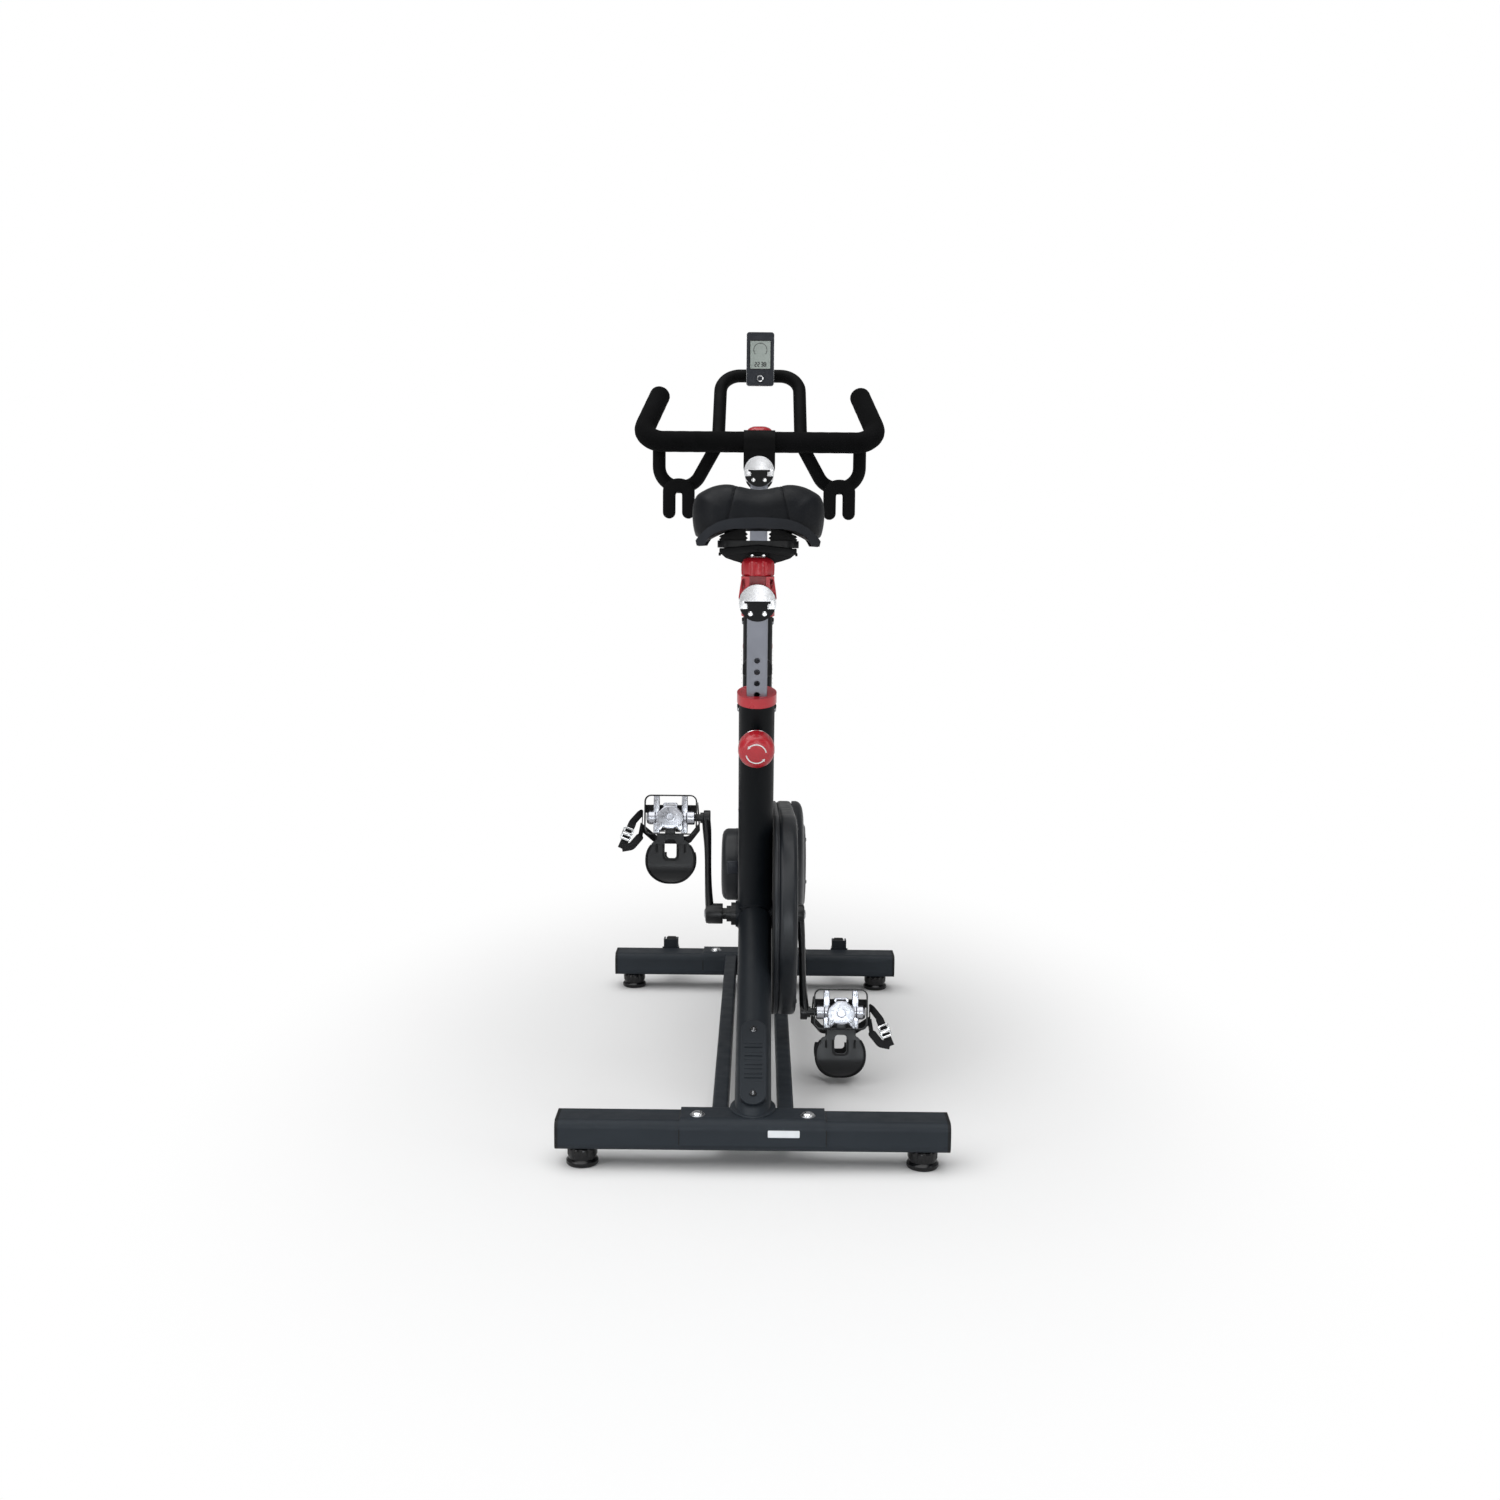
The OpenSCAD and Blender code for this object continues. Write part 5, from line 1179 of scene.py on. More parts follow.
def pedals():
    for side, sx in SIDES:
        body = side + "_pedal"
        for model, name, angle, slot, finish, replaced in (
                (pedal_casting, "_pedal_casting", 30, "pedal_alloy", alloy, ["_pedal_body"]),
                (pedal_cage, "_pedal_cage_plate", 35, "black_parts", black_steel, ["_pedal_cage"]),
                (cleat_spring, "_cleat_spring", 35, "black_parts", black_steel, [])):
            piece = at_pedal(model(), side, sx)
            piece.name = side + name
            fit(smooth(piece, angle), body, slot, finish, *(side + node for node in replaced))
        fit(smooth(toe_clip_trim(side, sx)), body, "black_parts", moulded)
        fit(toe_strap(side, sx), body, "strap_web", strap_weave, side + "_toe_strap")
        fit(smooth(strap_buckle(side, sx)), body, "pedal_alloy", chrome)
        screws = repeat(cross_head(2.6 * MM, 1.4 * MM), side + "_pedal_screws", [
            (mm(u, y, z), -Y) for y, z, out in ((-7, 30, 25), (-7, -24, 25), (-19, -14, 17))
            for u in (-out, out)])
        fit(smooth(at_pedal(screws, side, sx)), body, "zinc_steel", zinc)


# ---------- knobs and pull pins ----------


def lobed_knob(name, radius, tall, lobes, depth=3.2 * MM):
    """A domed hand knob with soft finger lobes, standing on its base."""
    knob = turned(name, [
        (radius * 0.8, 0), (radius * 0.93, 0.8 * MM), (radius * 0.99, 3 * MM),
        (radius, tall * 0.3), (radius, tall * 0.55), (radius * 0.97, tall * 0.68),
        (radius * 0.88, tall * 0.82), (radius * 0.72, tall * 0.92), (radius * 0.5, tall * 0.98),
        (radius * 0.2, tall)], 96)
    scoop = radius * math.pi / lobes * 0.86
    fluted(knob, lobes, radius + scoop - depth, scoop, -MM, tall * 1.1, 40, 0.5)
    return rounded(knob, 1.4 * MM, 3, 28)


def turning_arrow(radius, width, start_angle, end_angle, thick):
    """A flat curved arrow."""
    a, b = radius + width / 2, radius - width / 2
    head = end_angle - 16
    loop = arc((0, 0), a, start_angle, head, 14)
    for reach, angle in ((a + width * 0.8, head), (radius, end_angle), (b - width * 0.8, head)):
        loop += arc((0, 0), reach, angle, angle, 1)[:1]
    loop += arc((0, 0), b, head, start_angle, 14)
    return flat_shape("arrow", [loop], thick, 0)


def lock_knobs():
    tall = 31 * MM
    for node, body, name, joint in (
            ("saddle_lock_knob", "saddle_knob", "saddle_knob_dome", "saddle_knob_turn"),
            ("handlebar_lock_knob", "bar_knob", "handlebar_knob_dome", "handlebar_knob_turn")):
        base = low(node)
        at = Vector(joints[joint]["pos_m"])
        floor = high(node).z - tall
        knob = lobed_knob(name, 26.4 * MM, tall, 8, 2.2 * MM)
        turn_to(knob, (at.x, at.y, floor), Z)
        skirt = turned("skirt", in_mm((15, 0), (15.6, 0.6), (15.6, 3), (14, 4)), 48,
                       (at.x, at.y, floor - 0.2 * MM), Z)
        shaft = turned("shaft", [(4.6 * MM, 0), (5 * MM, 0.5 * MM),
                                 (5 * MM, max(2 * MM, floor - base.z)),
                                 (4.6 * MM, max(3 * MM, floor - base.z + 2 * MM))], 24,
                       (at.x, at.y, base.z), Z)
        fit(join(name, knob, skirt, shaft), body, "red_plastic", signal_red, node)
        arrow = turning_arrow(13 * MM, 2.2 * MM, 20, 330, 0.5 * MM)
        arrow.name = name + "_arrow"
        turn_to(arrow, (at.x, at.y, floor + 30.3 * MM), Z)
        fit(arrow, body, "red_plastic", white_print)


def pull_pins():
    """Red pull knobs on bright back plates at the two height locks."""
    for node, body, name, joint, foot, up, reach in (
            ("seat_pin", "saddle_height_pin", "saddle_pull_knob", "seat_pin_pull", crank_at,
             post_up, SEAT_PIN_UP),
            ("handlebar_pin", "bar_height_pin", "handlebar_pull_knob", "handlebar_pin_pull",
             axle_at, stem_up, STEM_PIN_UP)):
        along = Vector(joints[joint]["axis"]).normalized()
        seat = foot + up * reach
        knob = lobed_knob(name, 30.2 * MM, 32.5 * MM, 12, 0.9 * MM)
        turn_to(knob, seat + along * 49.5 * MM, along, up)
        stem = turned("pull_stem", in_mm((4.6, 0), (5, 0.6), (5, 26), (8.4, 27), (8.4, 33)), 28,
                      seat + along * 17.6 * MM, along)
        fit(join(name, knob, stem), body, "red_plastic", signal_red, node)
        plate = turned(name + "_back_plate", in_mm(
            (20, 0), (26.4, 0.4), (28, 1.4), (27.6, 2.4), (22, 4), (20, 5.4)), 64,
            seat + along * 44.6 * MM, along)
        fit(plate, body, "zinc_steel", chrome)
        arrows = [turning_arrow(16.5 * MM, 2 * MM, a, a + 140, 0.7 * MM) for a in (10, 190)]
        print_ring = join(name + "_arrows", *arrows)
        turn_to(print_ring, seat + along * 81.2 * MM, along, up)
        fit(print_ring, body, "red_plastic", white_print)


# ---------- saddle ----------


def saddle_outline(grow=0.0, steps=96):
    """Plan of the saddle, nose forward: the hull of its rear, waist and nose circles."""
    rear, nose, wide = low("saddle_pad").y, high("saddle_pad").y, high("saddle_pad").x
    circles = [(0, nose - 28 * MM, 28 * MM)]
    for sx in (-1, 1):
        circles.append((sx * wide / 2, rear + wide / 2, wide / 2))
        circles.append((sx * wide / 2, rear + wide / 2 + 40 * MM, wide / 2 - 6 * MM))
    loop = []
    for k in range(steps):
        u, v = math.cos(math.tau * k / steps), math.sin(math.tau * k / steps)
        cx, cy, r = max(circles, key=lambda c: c[0] * u + c[1] * v + c[2])
        loop.append((cx + (r + grow) * u, cy + (r + grow) * v))
    return loop


def half_width(y):
    """Half the saddle's width at a place along its length."""
    side = [p for p in saddle_outline(0, 360) if p[0] >= 0]
    side.sort(key=lambda p: p[1])
    for (x0, y0), (x1, y1) in zip(side, side[1:]):
        if y0 <= y <= y1 and y1 > y0:
            return x0 + (x1 - x0) * (y - y0) / (y1 - y0)
    return side[0][0] if y < side[0][1] else side[-1][0]


def pan_height(x):
    """Top of the arched saddle pan."""
    radius = 149.9 * MM
    crown = high("saddle_pan").z
    return crown + 0.4 * MM - radius + math.sqrt(radius * radius - x * x)


COVER_SWELL = 1.6  # mm that the cover is drawn short of its box, for the foam to fill
# How far the crown falls at places along the saddle, from the rear (mm back, mm down)
CROWN_FALL = ((1.2, 33), (4, 23), (9, 14), (17, 7), (29, 2.5), (46, 0.4), (70, 0.8), (100, 3),
              (135, 6), (170, 9), (200, 11), (225, 14), (243, 18), (255, 25), (262.5, 36))
# Across the crown: share of the half width, and mm below the two humps
CROWN_DIP = ((0, 9.6), (0.15, 8), (0.3, 3.2), (0.45, 0), (0.6, 1.4), (0.74, 5.6), (0.86, 12.5))
# Down the side: share of the half width, and share of the height above the pan
SIDE_TUCK = ((0.945, 0.8), (0.985, 0.66), (1.0, 0.5), (0.985, 0.3), (0.955, 0.13), (0.915, 0.0))


def saddle_section(back, fall):
    rear, peak = low("saddle_pad").y, high("saddle_pad").z
    wide = half_width(rear + back * MM) - COVER_SWELL * MM
    full = high("saddle_pad").x
    top = peak - fall * MM - COVER_SWELL * MM
    fade = min(1.0, wide / full)
    half = []
    for share, drop in CROWN_DIP:
        dip = drop * (fade ** 2.2 if share < 0.45 else 1.0)
        half.append((share * wide, top - dip * MM))
    foot = pan_height(SIDE_TUCK[-1][0] * wide)
    for share, rise in SIDE_TUCK:
        half.append((share * wide, foot + (top - foot) * rise))
    for share in (0.72, 0.48, 0.24):
        half.append((share * wide, pan_height(share * wide)))
    floor = (0, pan_height(0))
    left = [(-x, z) for x, z in half[1:]][::-1]
    return [(x, rear + back * MM, z) for x, z in half + [floor] + left]


def saddle_cage():
    """Lofted crown and sides, closed at the rear and the nose."""
    mesh = bmesh.new()
    rows = [[mesh.verts.new(p) for p in saddle_section(back, fall)] for back, fall in CROWN_FALL]
    for a, b in zip(rows, rows[1:]):
        for k in range(len(a)):
            j = (k + 1) % len(a)
            mesh.faces.new((a[k], a[j], b[j], b[k]))
    mesh.faces.new(rows[0][::-1])
    mesh.faces.new(rows[-1])
    data = bpy.data.meshes.new("saddle_cover")
    mesh.to_mesh(data)
    mesh.free()
    piece = bpy.data.objects.new("saddle_cover", data)
    bpy.context.scene.collection.objects.link(piece)
    return modify(tidy_skin(piece), "SUBSURF", levels=2, render_levels=2)


def puffed(piece, voxel, most):
    """Blows the cover up against its own skin, as foam under a tight cover does."""
    modify(piece, "REMESH", mode="VOXEL", voxel_size=voxel, use_smooth_shade=True)
    before = [v.co.copy() for v in piece.data.vertices]
    hold(piece)
    cloth = piece.modifiers.new("cloth", "CLOTH")
    cloth.settings.use_pressure = True
    cloth.settings.uniform_pressure_force = 4
    cloth.settings.effector_weights.gravity = 0
    cloth.settings.quality = 5
    for frame_number in range(1, 21):
        bpy.context.scene.frame_set(frame_number)
    bpy.ops.object.modifier_apply(modifier=cloth.name)
    bpy.context.scene.frame_set(1)
    for vertex, start_at in zip(piece.data.vertices, before):
        step = vertex.co - start_at
        if step.length > most:
            step *= most / step.length
        near_pan = start_at.z - pan_height(max(-0.14, min(0.14, start_at.x))) < 4 * MM
        vertex.co = start_at + step * (0.0 if near_pan else 1.0)  # the pan holds its foam still
    return piece


def seam_line(sx, count=40):
    """One seam in plan and height: up the rear face, then forward to the nose."""
    rear = low("saddle_pad").y
    points = []
    for k in range(12):
        t = k / 11
        points.append((sx * (47 - 9 * t) * MM, rear - 10 * MM, (984 + 40 * t) * MM, "rear"))
    for k in range(count):
        t = k / (count - 1)
        points.append((sx * (38 - 20 * t ** 0.8) * MM, rear + (10 + 225 * t) * MM, 1.1, "top"))
    return points


def saddle_seams(cover):
    """Presses each seam into the cover and lays a stitched thread in it."""
    skin = BVHTree.FromObject(cover, bpy.context.evaluated_depsgraph_get())
    threads = []
    for sx in (-1, 1):
        path = []
        for x, y, z, face in seam_line(sx):
            aim = Y if face == "rear" else -Z
            hit = skin.ray_cast(Vector((x, y, z)), aim)
            if hit[0] is not None:
                path.append((hit[0], hit[1]))
        path = [p for k, p in enumerate(path) if k == 0 or (p[0] - path[k - 1][0]).length < 0.04]
        fine = []
        for (a, n), (b, m) in zip(path, path[1:]):
            steps = max(1, int((b - a).length / (1.6 * MM)))
            for k in range(steps):
                spot = skin.find_nearest(a.lerp(b, k / steps))[0]
                fine.append((spot, n.lerp(m, k / steps).normalized()))
        for vertex in cover.data.vertices:
            if abs(vertex.co.x - sx * 33 * MM) > 24 * MM:
                continue
            gap = min((vertex.co - spot).length for spot, _ in fine)
            if gap < 12 * MM:
                away = min(fine, key=lambda p: (vertex.co - p[0]).length)[1]
                press = 1.5 * math.exp(-(gap / (2.0 * MM)) ** 2) + 0.7 * math.exp(
                    -(gap / (6 * MM)) ** 2)
                vertex.co -= away * press * MM
        threads.append(pipe("thread", [spot - n * 1.3 * MM for spot, n in fine], 0.75 * MM, 8,
                            ripple=0.45))
    return join("saddle_seam_threads", *threads)


def saddle_cover():
    cover = puffed(saddle_cage(), 4 * MM, 2.2 * MM)
    modify(cover, "SUBSURF", levels=1, render_levels=1)
    threads = saddle_seams(cover)
    hold(cover)
    bpy.ops.object.shade_smooth()
    fit(cover, "saddle", "saddle_cover", saddle_skin, "saddle_pad")
    fit(threads, "saddle", "saddle_cover", seam_thread)


# Half of the trim strip's outline from behind, in mm from the middle and from the floor
BAND_OUTER = ((0, 987), (25, 986), (46, 983.6), (62, 979), (78, 970), (90, 959.5), (96.5, 951),
              (94.5, 943))
BAND_INNER = ((82, 944), (79, 950), (75, 956), (68, 961), (57, 966), (39, 969), (0, 970))


def saddle_band():
    """Trim strip round the saddle's lower edge, arched with the pan."""
    outer_side, inner_side = in_mm(*BAND_OUTER), in_mm(*BAND_INNER)
    loop = ([(-u, v) for u, v in outer_side[1:]][::-1] + outer_side + inner_side
            + [(-u, v) for u, v in inner_side[:-1]][::-1])
    arch = flat_shape("saddle_trim_band", [loop[::-1]], 0.32, 0, (0, mid("saddle_pad").y, 0), Y, Z)
    rim = flat_shape("rim", [saddle_outline(0.8 * MM), saddle_outline(-8 * MM)[::-1]], 0.12, 0,
                     (0, 0, mid("saddle_pad").z - 20 * MM), Z, Y)
    fit(kept_inside(arch, rim, 1.1 * MM, 3), "saddle", "saddle_cover", trim_rubber)


def saddle_base():
    """Arched moulding that the foam is glued to."""
    rear, nose = low("saddle_pad").y, high("saddle_pad").y
    crown = high("saddle_pan").z
    outer, inner = 149.4 * MM, 142.7 * MM
    centre = (0, crown - 149.6 * MM)
    lean = math.degrees(math.acos(90 * MM / outer))
    loop = arc(centre, outer, lean, 180 - lean, 48) + arc(centre, inner, 180 - lean, lean, 48)
    shell = flat_shape("saddle_base", [loop], 0.32, 0, (0, (rear + nose) / 2, 0), Y, Z)
    plan = flat_shape("plan", [saddle_outline(-5 * MM)], 0.12, 0, (0, 0, crown - 20 * MM), Z, Y)
    fit(kept_inside(shell, plan, 0.8 * MM, 2), "saddle", "black_plastic", moulded, "saddle_pan")


def under_saddle():
    """Ribbed belly, side blocks and bright fixings between the pan and the clamp."""
    clamp, deck = mid("saddle_bracket").y, low("saddle_bracket").z
    plate = deck + 25 * MM
    rear = low("saddle_bracket").y
    face = [(-57, -1), (-57, 6), (-53, 8.5), (0, 14), (53, 8.5), (57, 6), (57, -1), (50, -3.5),
            (0, 1.5), (-50, -3.5)]
    rim = flat_shape("clamp_rim", [[(u * MM, plate + (v - 9) * MM) for u, v in face][::-1]],
                     14 * MM, 2 * MM, (0, rear + 3 * MM, 0), Y, Z)
    parts = [rim]
    for sx in (-1, 1):
        parts.append(block("clamp_tab", (sx * 57 * MM - 4 * MM, rear - 2 * MM, plate - 11 * MM),
                           (sx * 57 * MM + 4 * MM, rear + 9 * MM, plate - 1 * MM), 1.5 * MM))
        parts.append(block("clamp_tooth", (sx * 60.5 * MM - 1.8 * MM, rear, plate - 13 * MM),
                           (sx * 60.5 * MM + 1.8 * MM, rear + 6 * MM, plate - 8 * MM), 0.8 * MM))
    belly = [(-57, -1), (57, -1), (57.5, -11), (51, -16.5), (38, -21), (27, -24), (-27, -24),
             (-38, -21), (-51, -16.5), (-57.5, -11)]
    rib = flat_shape("rib", [[(u * MM, plate + v * MM) for u, v in belly]], 3 * MM, 0.8 * MM,
                     (0, rear + 6 * MM, 0), Y, Z)
    for k in range(10):
        parts.append(moved(copied(rib, "rib_copy"), (0, k * 12.2 * MM, 0)))
    bpy.data.objects.remove(rib)
    for u in (-34, -17, 0, 17, 34):
        deep = 20 - abs(u) * 0.3
        parts.append(block("long_rib", (u * MM - 1.5 * MM, rear + 4 * MM, plate - deep * MM),
                           (u * MM + 1.5 * MM, rear + 118 * MM, plate), 0.7 * MM, 1))
    fit(join("saddle_clamp_body", *parts), "saddle", "black_parts", moulded)
    pads = []
    side = [(17, 10), (60, 10), (62, 13), (59, 15), (62, 17), (59, 19.5), (52, 22), (40, 27),
            (24, 31), (19, 30), (21, 25), (17, 22), (21, 19), (17, 16), (20, 13)]
    for sx in (-1, 1):
        loop = [(sx * u * MM, plate + v * MM) for u, v in side]
        for y in (clamp - 40 * MM, clamp + 34 * MM):
            pads.append(flat_shape("bumper", [loop[::-1] if sx > 0 else loop], 34 * MM, 1 * MM,
                                   (0, y, 0), Y, Z))
    fit(join("saddle_bumpers", *pads), "saddle", "black_parts", rubber)
    places = [(Vector((0, rear - 1.6 * MM, plate + v * MM)), -Y) for v in (-3, -21)]
    places += [(Vector((sx * 9 * MM, rear - 1.6 * MM, plate - 12 * MM)), -Y) for sx in (-1, 1)]
    fit(repeat(socket_head(3 * MM, 2.4 * MM, 1.2 * MM), "saddle_clamp_screws", places), "saddle",
        "zinc_steel", chrome)


def saddle_slider():
    """Rounded wings over the seat rail, with scale ticks let into the slider's rear."""
    start_y, end_y = low("saddle_carriage").y, high("saddle_carriage").y
    wings = []
    for sx in (-1, 1):
        shell = [(sx * 17, 40), (sx * 24, 39), (sx * 26, 36), (sx * 28.4, 20), (sx * 30, 8)]
        loop = [(u * MM, seat_rail_z + v * MM) for u, v in shell]
        loop += [(sx * (28.8 + 0.6) * math.cos(a) * MM, seat_rail_z + 29.4 * math.sin(a) * MM)
                 for a in (0.15, 0.4, 0.65, 0.9)]
        wings.append(flat_shape("wing", [loop[::-sx]], end_y - start_y, 1.6 * MM,
                                (0, (start_y + end_y) / 2, 0), Y, Z))
    fit(join("saddle_slider_wings", *wings), "saddle", "red_plastic", signal_red)
    ticks = []
    for k in range(-4, 5):
        deep = 9 if k % 2 == 0 else 6
        ticks.append(block(
            "tick", (k * 2.6 * MM - 0.5 * MM, start_y - 0.2 * MM, seat_rail_z + 29.2 * MM),
            (k * 2.6 * MM + 0.5 * MM, start_y + deep * MM, seat_rail_z + 30.6 * MM), 0.2 * MM, 1))
    fit(join("saddle_slider_ticks", *ticks), "saddle", "red_plastic", dark_red)


def rail_end_plates():
    """Bright end disc with a black wedge, its clip bar and two screws."""
    for node, body, rail_z, name in (("seat_rail_caps", "saddle_post", seat_rail_z, "seat_rail"),
                                     ("handlebar_rail_caps", "bar_post", bar_rail_z, "bar_rail")):
        discs, wedges, places = [], [], []
        for y, way in ((low(node).y + 2 * MM, -Y), (high(node).y - 2 * MM, Y)):
            centre = Vector((0, y, rail_z))
            sx = 1 if way.y < 0 else -1
            shell = arc((0, 0), 29, -19, 199, 44)
            lip = [(-16, -9.5), (-16, -0.5), (-20.7, -0.5), (-20.7, 2.6), (20.7, 2.6),
                   (20.7, -0.5), (16, -0.5), (16, -9.5)]
            discs.append(flat_shape("end_disc", [in_mm(*shell, *lip)], 2.6 * MM, 0.5 * MM, centre,
                                    way, Z))
            wedge = arc((0, 0), 28.6, 199.5, 340.5, 32)
            wedge += [(15.6, -9.2), (15.6, -0.9), (20.3, -0.8), (20.3, 2.2), (-20.3, 2.2),
                      (-20.3, -0.8), (-15.6, -0.9), (-15.6, -9.2)]
            wedges.append(flat_shape("end_wedge", [in_mm(*wedge)], 3.2 * MM, 0.7 * MM,
                                     centre + way * 0.4 * MM, way, Z))
            for u in (-11, 11):
                spot = centre + Vector((u * sx * MM, 0, -16.4 * MM))
                places.append((spot + way * 1.4 * MM, way))
        fit(join(name + "_end_discs", *discs), body, "rail_alloy", bright_rail)
        fit(join(name + "_end_wedges", *wedges), body, "black_plastic", moulded)
        fit(repeat(cross_head(4.4 * MM, 1.8 * MM), name + "_end_screws", places), body,
            "zinc_steel", chrome)


def post_scales():
    """Dark scale ticks on both flanks of each sliding post."""
    for node, body, up, foot, name in (
            ("seat_post", "saddle_post", post_up, crank_at, "seat_post"),
            ("handlebar_post", "bar_post", stem_up, axle_at, "bar_post")):
        reach = (Vector((0, mid(node).y, mid(node).z)) - foot).dot(up)
        out = up.cross(X)
        ticks = []
        for k in range(-16, 15):
            wide = 4.6 if k % 5 == 0 else 2.4
            centre = foot + up * (reach + k * 8 * MM)
            for sx in (-1, 1):
                tick = block("tick", mm(-0.12, -wide, -0.35), mm(0.12, wide, 0.35))
                turn = Matrix((X, out, up)).transposed().to_4x4()
                tick.matrix_world = Matrix.Translation(
                    centre + X * sx * (high(node).x - 0.02 * MM)) @ turn
                ticks.append(settle(tick))
        fit(join(name + "_scale", *ticks), body, "black_parts", dark_print)


# ---------- handlebar ----------


def crossbar_path(sx):
    return bend_path([
        Vector((0, bar_y, bar_z)), Vector((sx * 235 * MM, bar_y, bar_z)),
        Vector((sx * 200 * MM, bar_y + 105 * MM, bar_z + 97 * MM))], 38 * MM, 16)


def foam_grips():
    """Foam sleeves over the crossbar and horns, with domed ends and faint swelling."""
    for side, sx in SIDES:
        line = crossbar_path(sx)
        line = [Vector((sx * 0.3 * MM, bar_y, bar_z))] + line[1:]
        fine = []
        for a, b in zip(line, line[1:]):
            steps = max(1, int((b - a).length / (4 * MM)))
            fine += [a.lerp(b, k / steps) for k in range(steps)]
        fine.append(line[-1])
        way = (fine[-1] - fine[-2]).normalized()
        girth = [1.0 + 0.006 * math.sin(k * 0.9) for k in range(len(fine))]
        tip = fine[-1]
        for k in range(1, 9):
            a = math.pi / 2 * k / 8.3
            fine.append(tip + way * (14 * MM * math.sin(a)))
            girth.append(math.cos(a) ** 0.8)
        grip = tapered(side + "_foam_grip", fine, girth, 20.3 * MM, 36)
        smooth(grip, 60)
        fit(grip, "handlebar", "foam_grip", grip_foam)
        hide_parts("handlebar_grips")


def loop_path(sx):
    """Half of the loop: along the top that carries the console, down past the crossbar,
    and round a low hook back up to it."""
    hook_y, hook_z = high("accessory_holders").y + 13 * MM, high("accessory_holders").z - 15 * MM
    return [Vector(p) for p in (
        (0, bar_y + 120 * MM, loop_top), (sx * 78 * MM, bar_y + 120 * MM, loop_top),
        (sx * 81 * MM, hook_y - 4 * MM, bar_z), (sx * 129 * MM, hook_y, hook_z),
        (sx * 197 * MM, hook_y, hook_z), (sx * 197 * MM, hook_y, bar_z + 5 * MM))]


def loop_tubes():
    """The bent loop that carries the console and both hooks, and the bar under the foam."""
    radius = BAR_R + 0.2 * MM
    tubes = [pipe("loop_half", bend_path(loop_path(sx), 39 * MM, 14), radius, 36)
             for _, sx in SIDES]
    core = [Vector((sx * 60 * MM, bar_y, bar_z)) for sx in (-1, 1)]
    tubes.append(pipe("bar_core", core, radius, 32))
    piece = join("handlebar_loop", *tubes)
    fit(smooth(piece, 60), "handlebar", "black_parts", soft_black, "handlebar_tubes")


def hook_holders():
    """Forked hooks under the loop, with an arched crown and rounded prongs."""
    box_low, box_high = low("accessory_holders"), high("accessory_holders")
    wide = 31 * MM
    centre_x = box_high.x - wide
    prong = 12.2 * MM
    slot = 6.5 * MM
    y = (box_low.y + box_high.y) / 2
    parts = []
    for _, sx in SIDES:
        loop = arc((-wide + prong, box_low.z + prong), prong, 180, 360, 14)
        loop += arc((0, box_low.z + 45 * MM), slot, 180, 0, 12)
        loop += arc((wide - prong, box_low.z + prong), prong, 180, 360, 14)
        crown = box_high.z - 24 * MM
        loop += [(wide, crown)] + arc((0, crown), wide, 12, 168, 24) + [(-wide, crown)]
        loop = [(u, v if v < crown else crown + (v - crown) * 24 / 31) for u, v in loop]
        parts.append(flat_shape("hook", [loop], 22 * MM, 5.4 * MM, (sx * centre_x, y, 0), -Y, Z,
                                4))
    piece = join("hook_holders", *parts)
    fit(smooth(piece, 50), "handlebar", "black_plastic", soft_black, "accessory_holders")


def bar_clamp():
    """Stem block under the crossbar, its cradle over the rail and the knob's column."""
    half = 25.4 * MM
    waist = bar_rail_z + 33 * MM
    block_loop = [(-half, waist - 6 * MM), (half, waist - 6 * MM), (half - MM, bar_z + 4 * MM),
                  (-half + MM, bar_z + 4 * MM)]
    stem = flat_shape("stem_block", [block_loop], 42.6 * MM, 9 * MM, (0, bar_y, 0), -Y, Z, 4)
    cradle = arc((0, bar_rail_z), 29.4 * MM, 166, 14, 36)
    cradle += [(30.6 * MM, bar_rail_z + 8 * MM), (30 * MM, waist - 14 * MM),
               (27.6 * MM, waist), (-27.6 * MM, waist), (-30 * MM, waist - 14 * MM),
               (-30.6 * MM, bar_rail_z + 8 * MM)]
    seat = flat_shape("rail_cradle", [cradle[::-1]], 49 * MM, 0.8 * MM, (0, bar_y + 3 * MM, 0),
                      -Y, Z)
    knob_y = Vector(joints["handlebar_knob_turn"]["pos_m"]).y
    column = turned("knob_column", in_mm((21, 0), (22, 1.5), (22, 12), (20, 16), (12, 17)), 48,
                    (0, knob_y, bar_rail_z + 29 * MM), Z)
    shoe = flat_shape("rail_shoe", [cradle[::-1]], 60 * MM, 0.8 * MM, (0, bar_y + 55 * MM, 0),
                      -Y, Z)
    fit(join("handlebar_stem_block", stem, seat, column, shoe), "handlebar", "black_parts",
        soft_black)


# ---------- console ----------

# A plain row of figures, and the bars lit for each by the letters that digit() places
FIGURES = "2238"
SEGMENTS = {"2": "abged", "3": "abgcd", "8": "abcdefg"}


def digit(value, at):
    """Seven-bar figure; returns little plates in the face's own plane."""
    wide, tall, pen = 3.7, 7.8, 1.7
    spots = {"a": (0, tall / 2, 1), "g": (0, 0, 1), "d": (0, -tall / 2, 1),
             "b": (wide / 2, tall / 4, 0), "c": (wide / 2, -tall / 4, 0),
             "f": (-wide / 2, tall / 4, 0), "e": (-wide / 2, -tall / 4, 0)}
    plates = []
    for key in SEGMENTS[value]:
        u, v, flat = spots[key]
        size = (wide * 0.78, pen) if flat else (pen, tall * 0.4)
        plates.append(flat_shape("bar", [soft_box(size[0] * MM, size[1] * MM, 0.3 * MM,
                                                  ((at[0] + u) * MM, (at[1] + v) * MM), steps=2)],
                                 0.2 * MM, 0, (0, 0, 0)))
    return plates


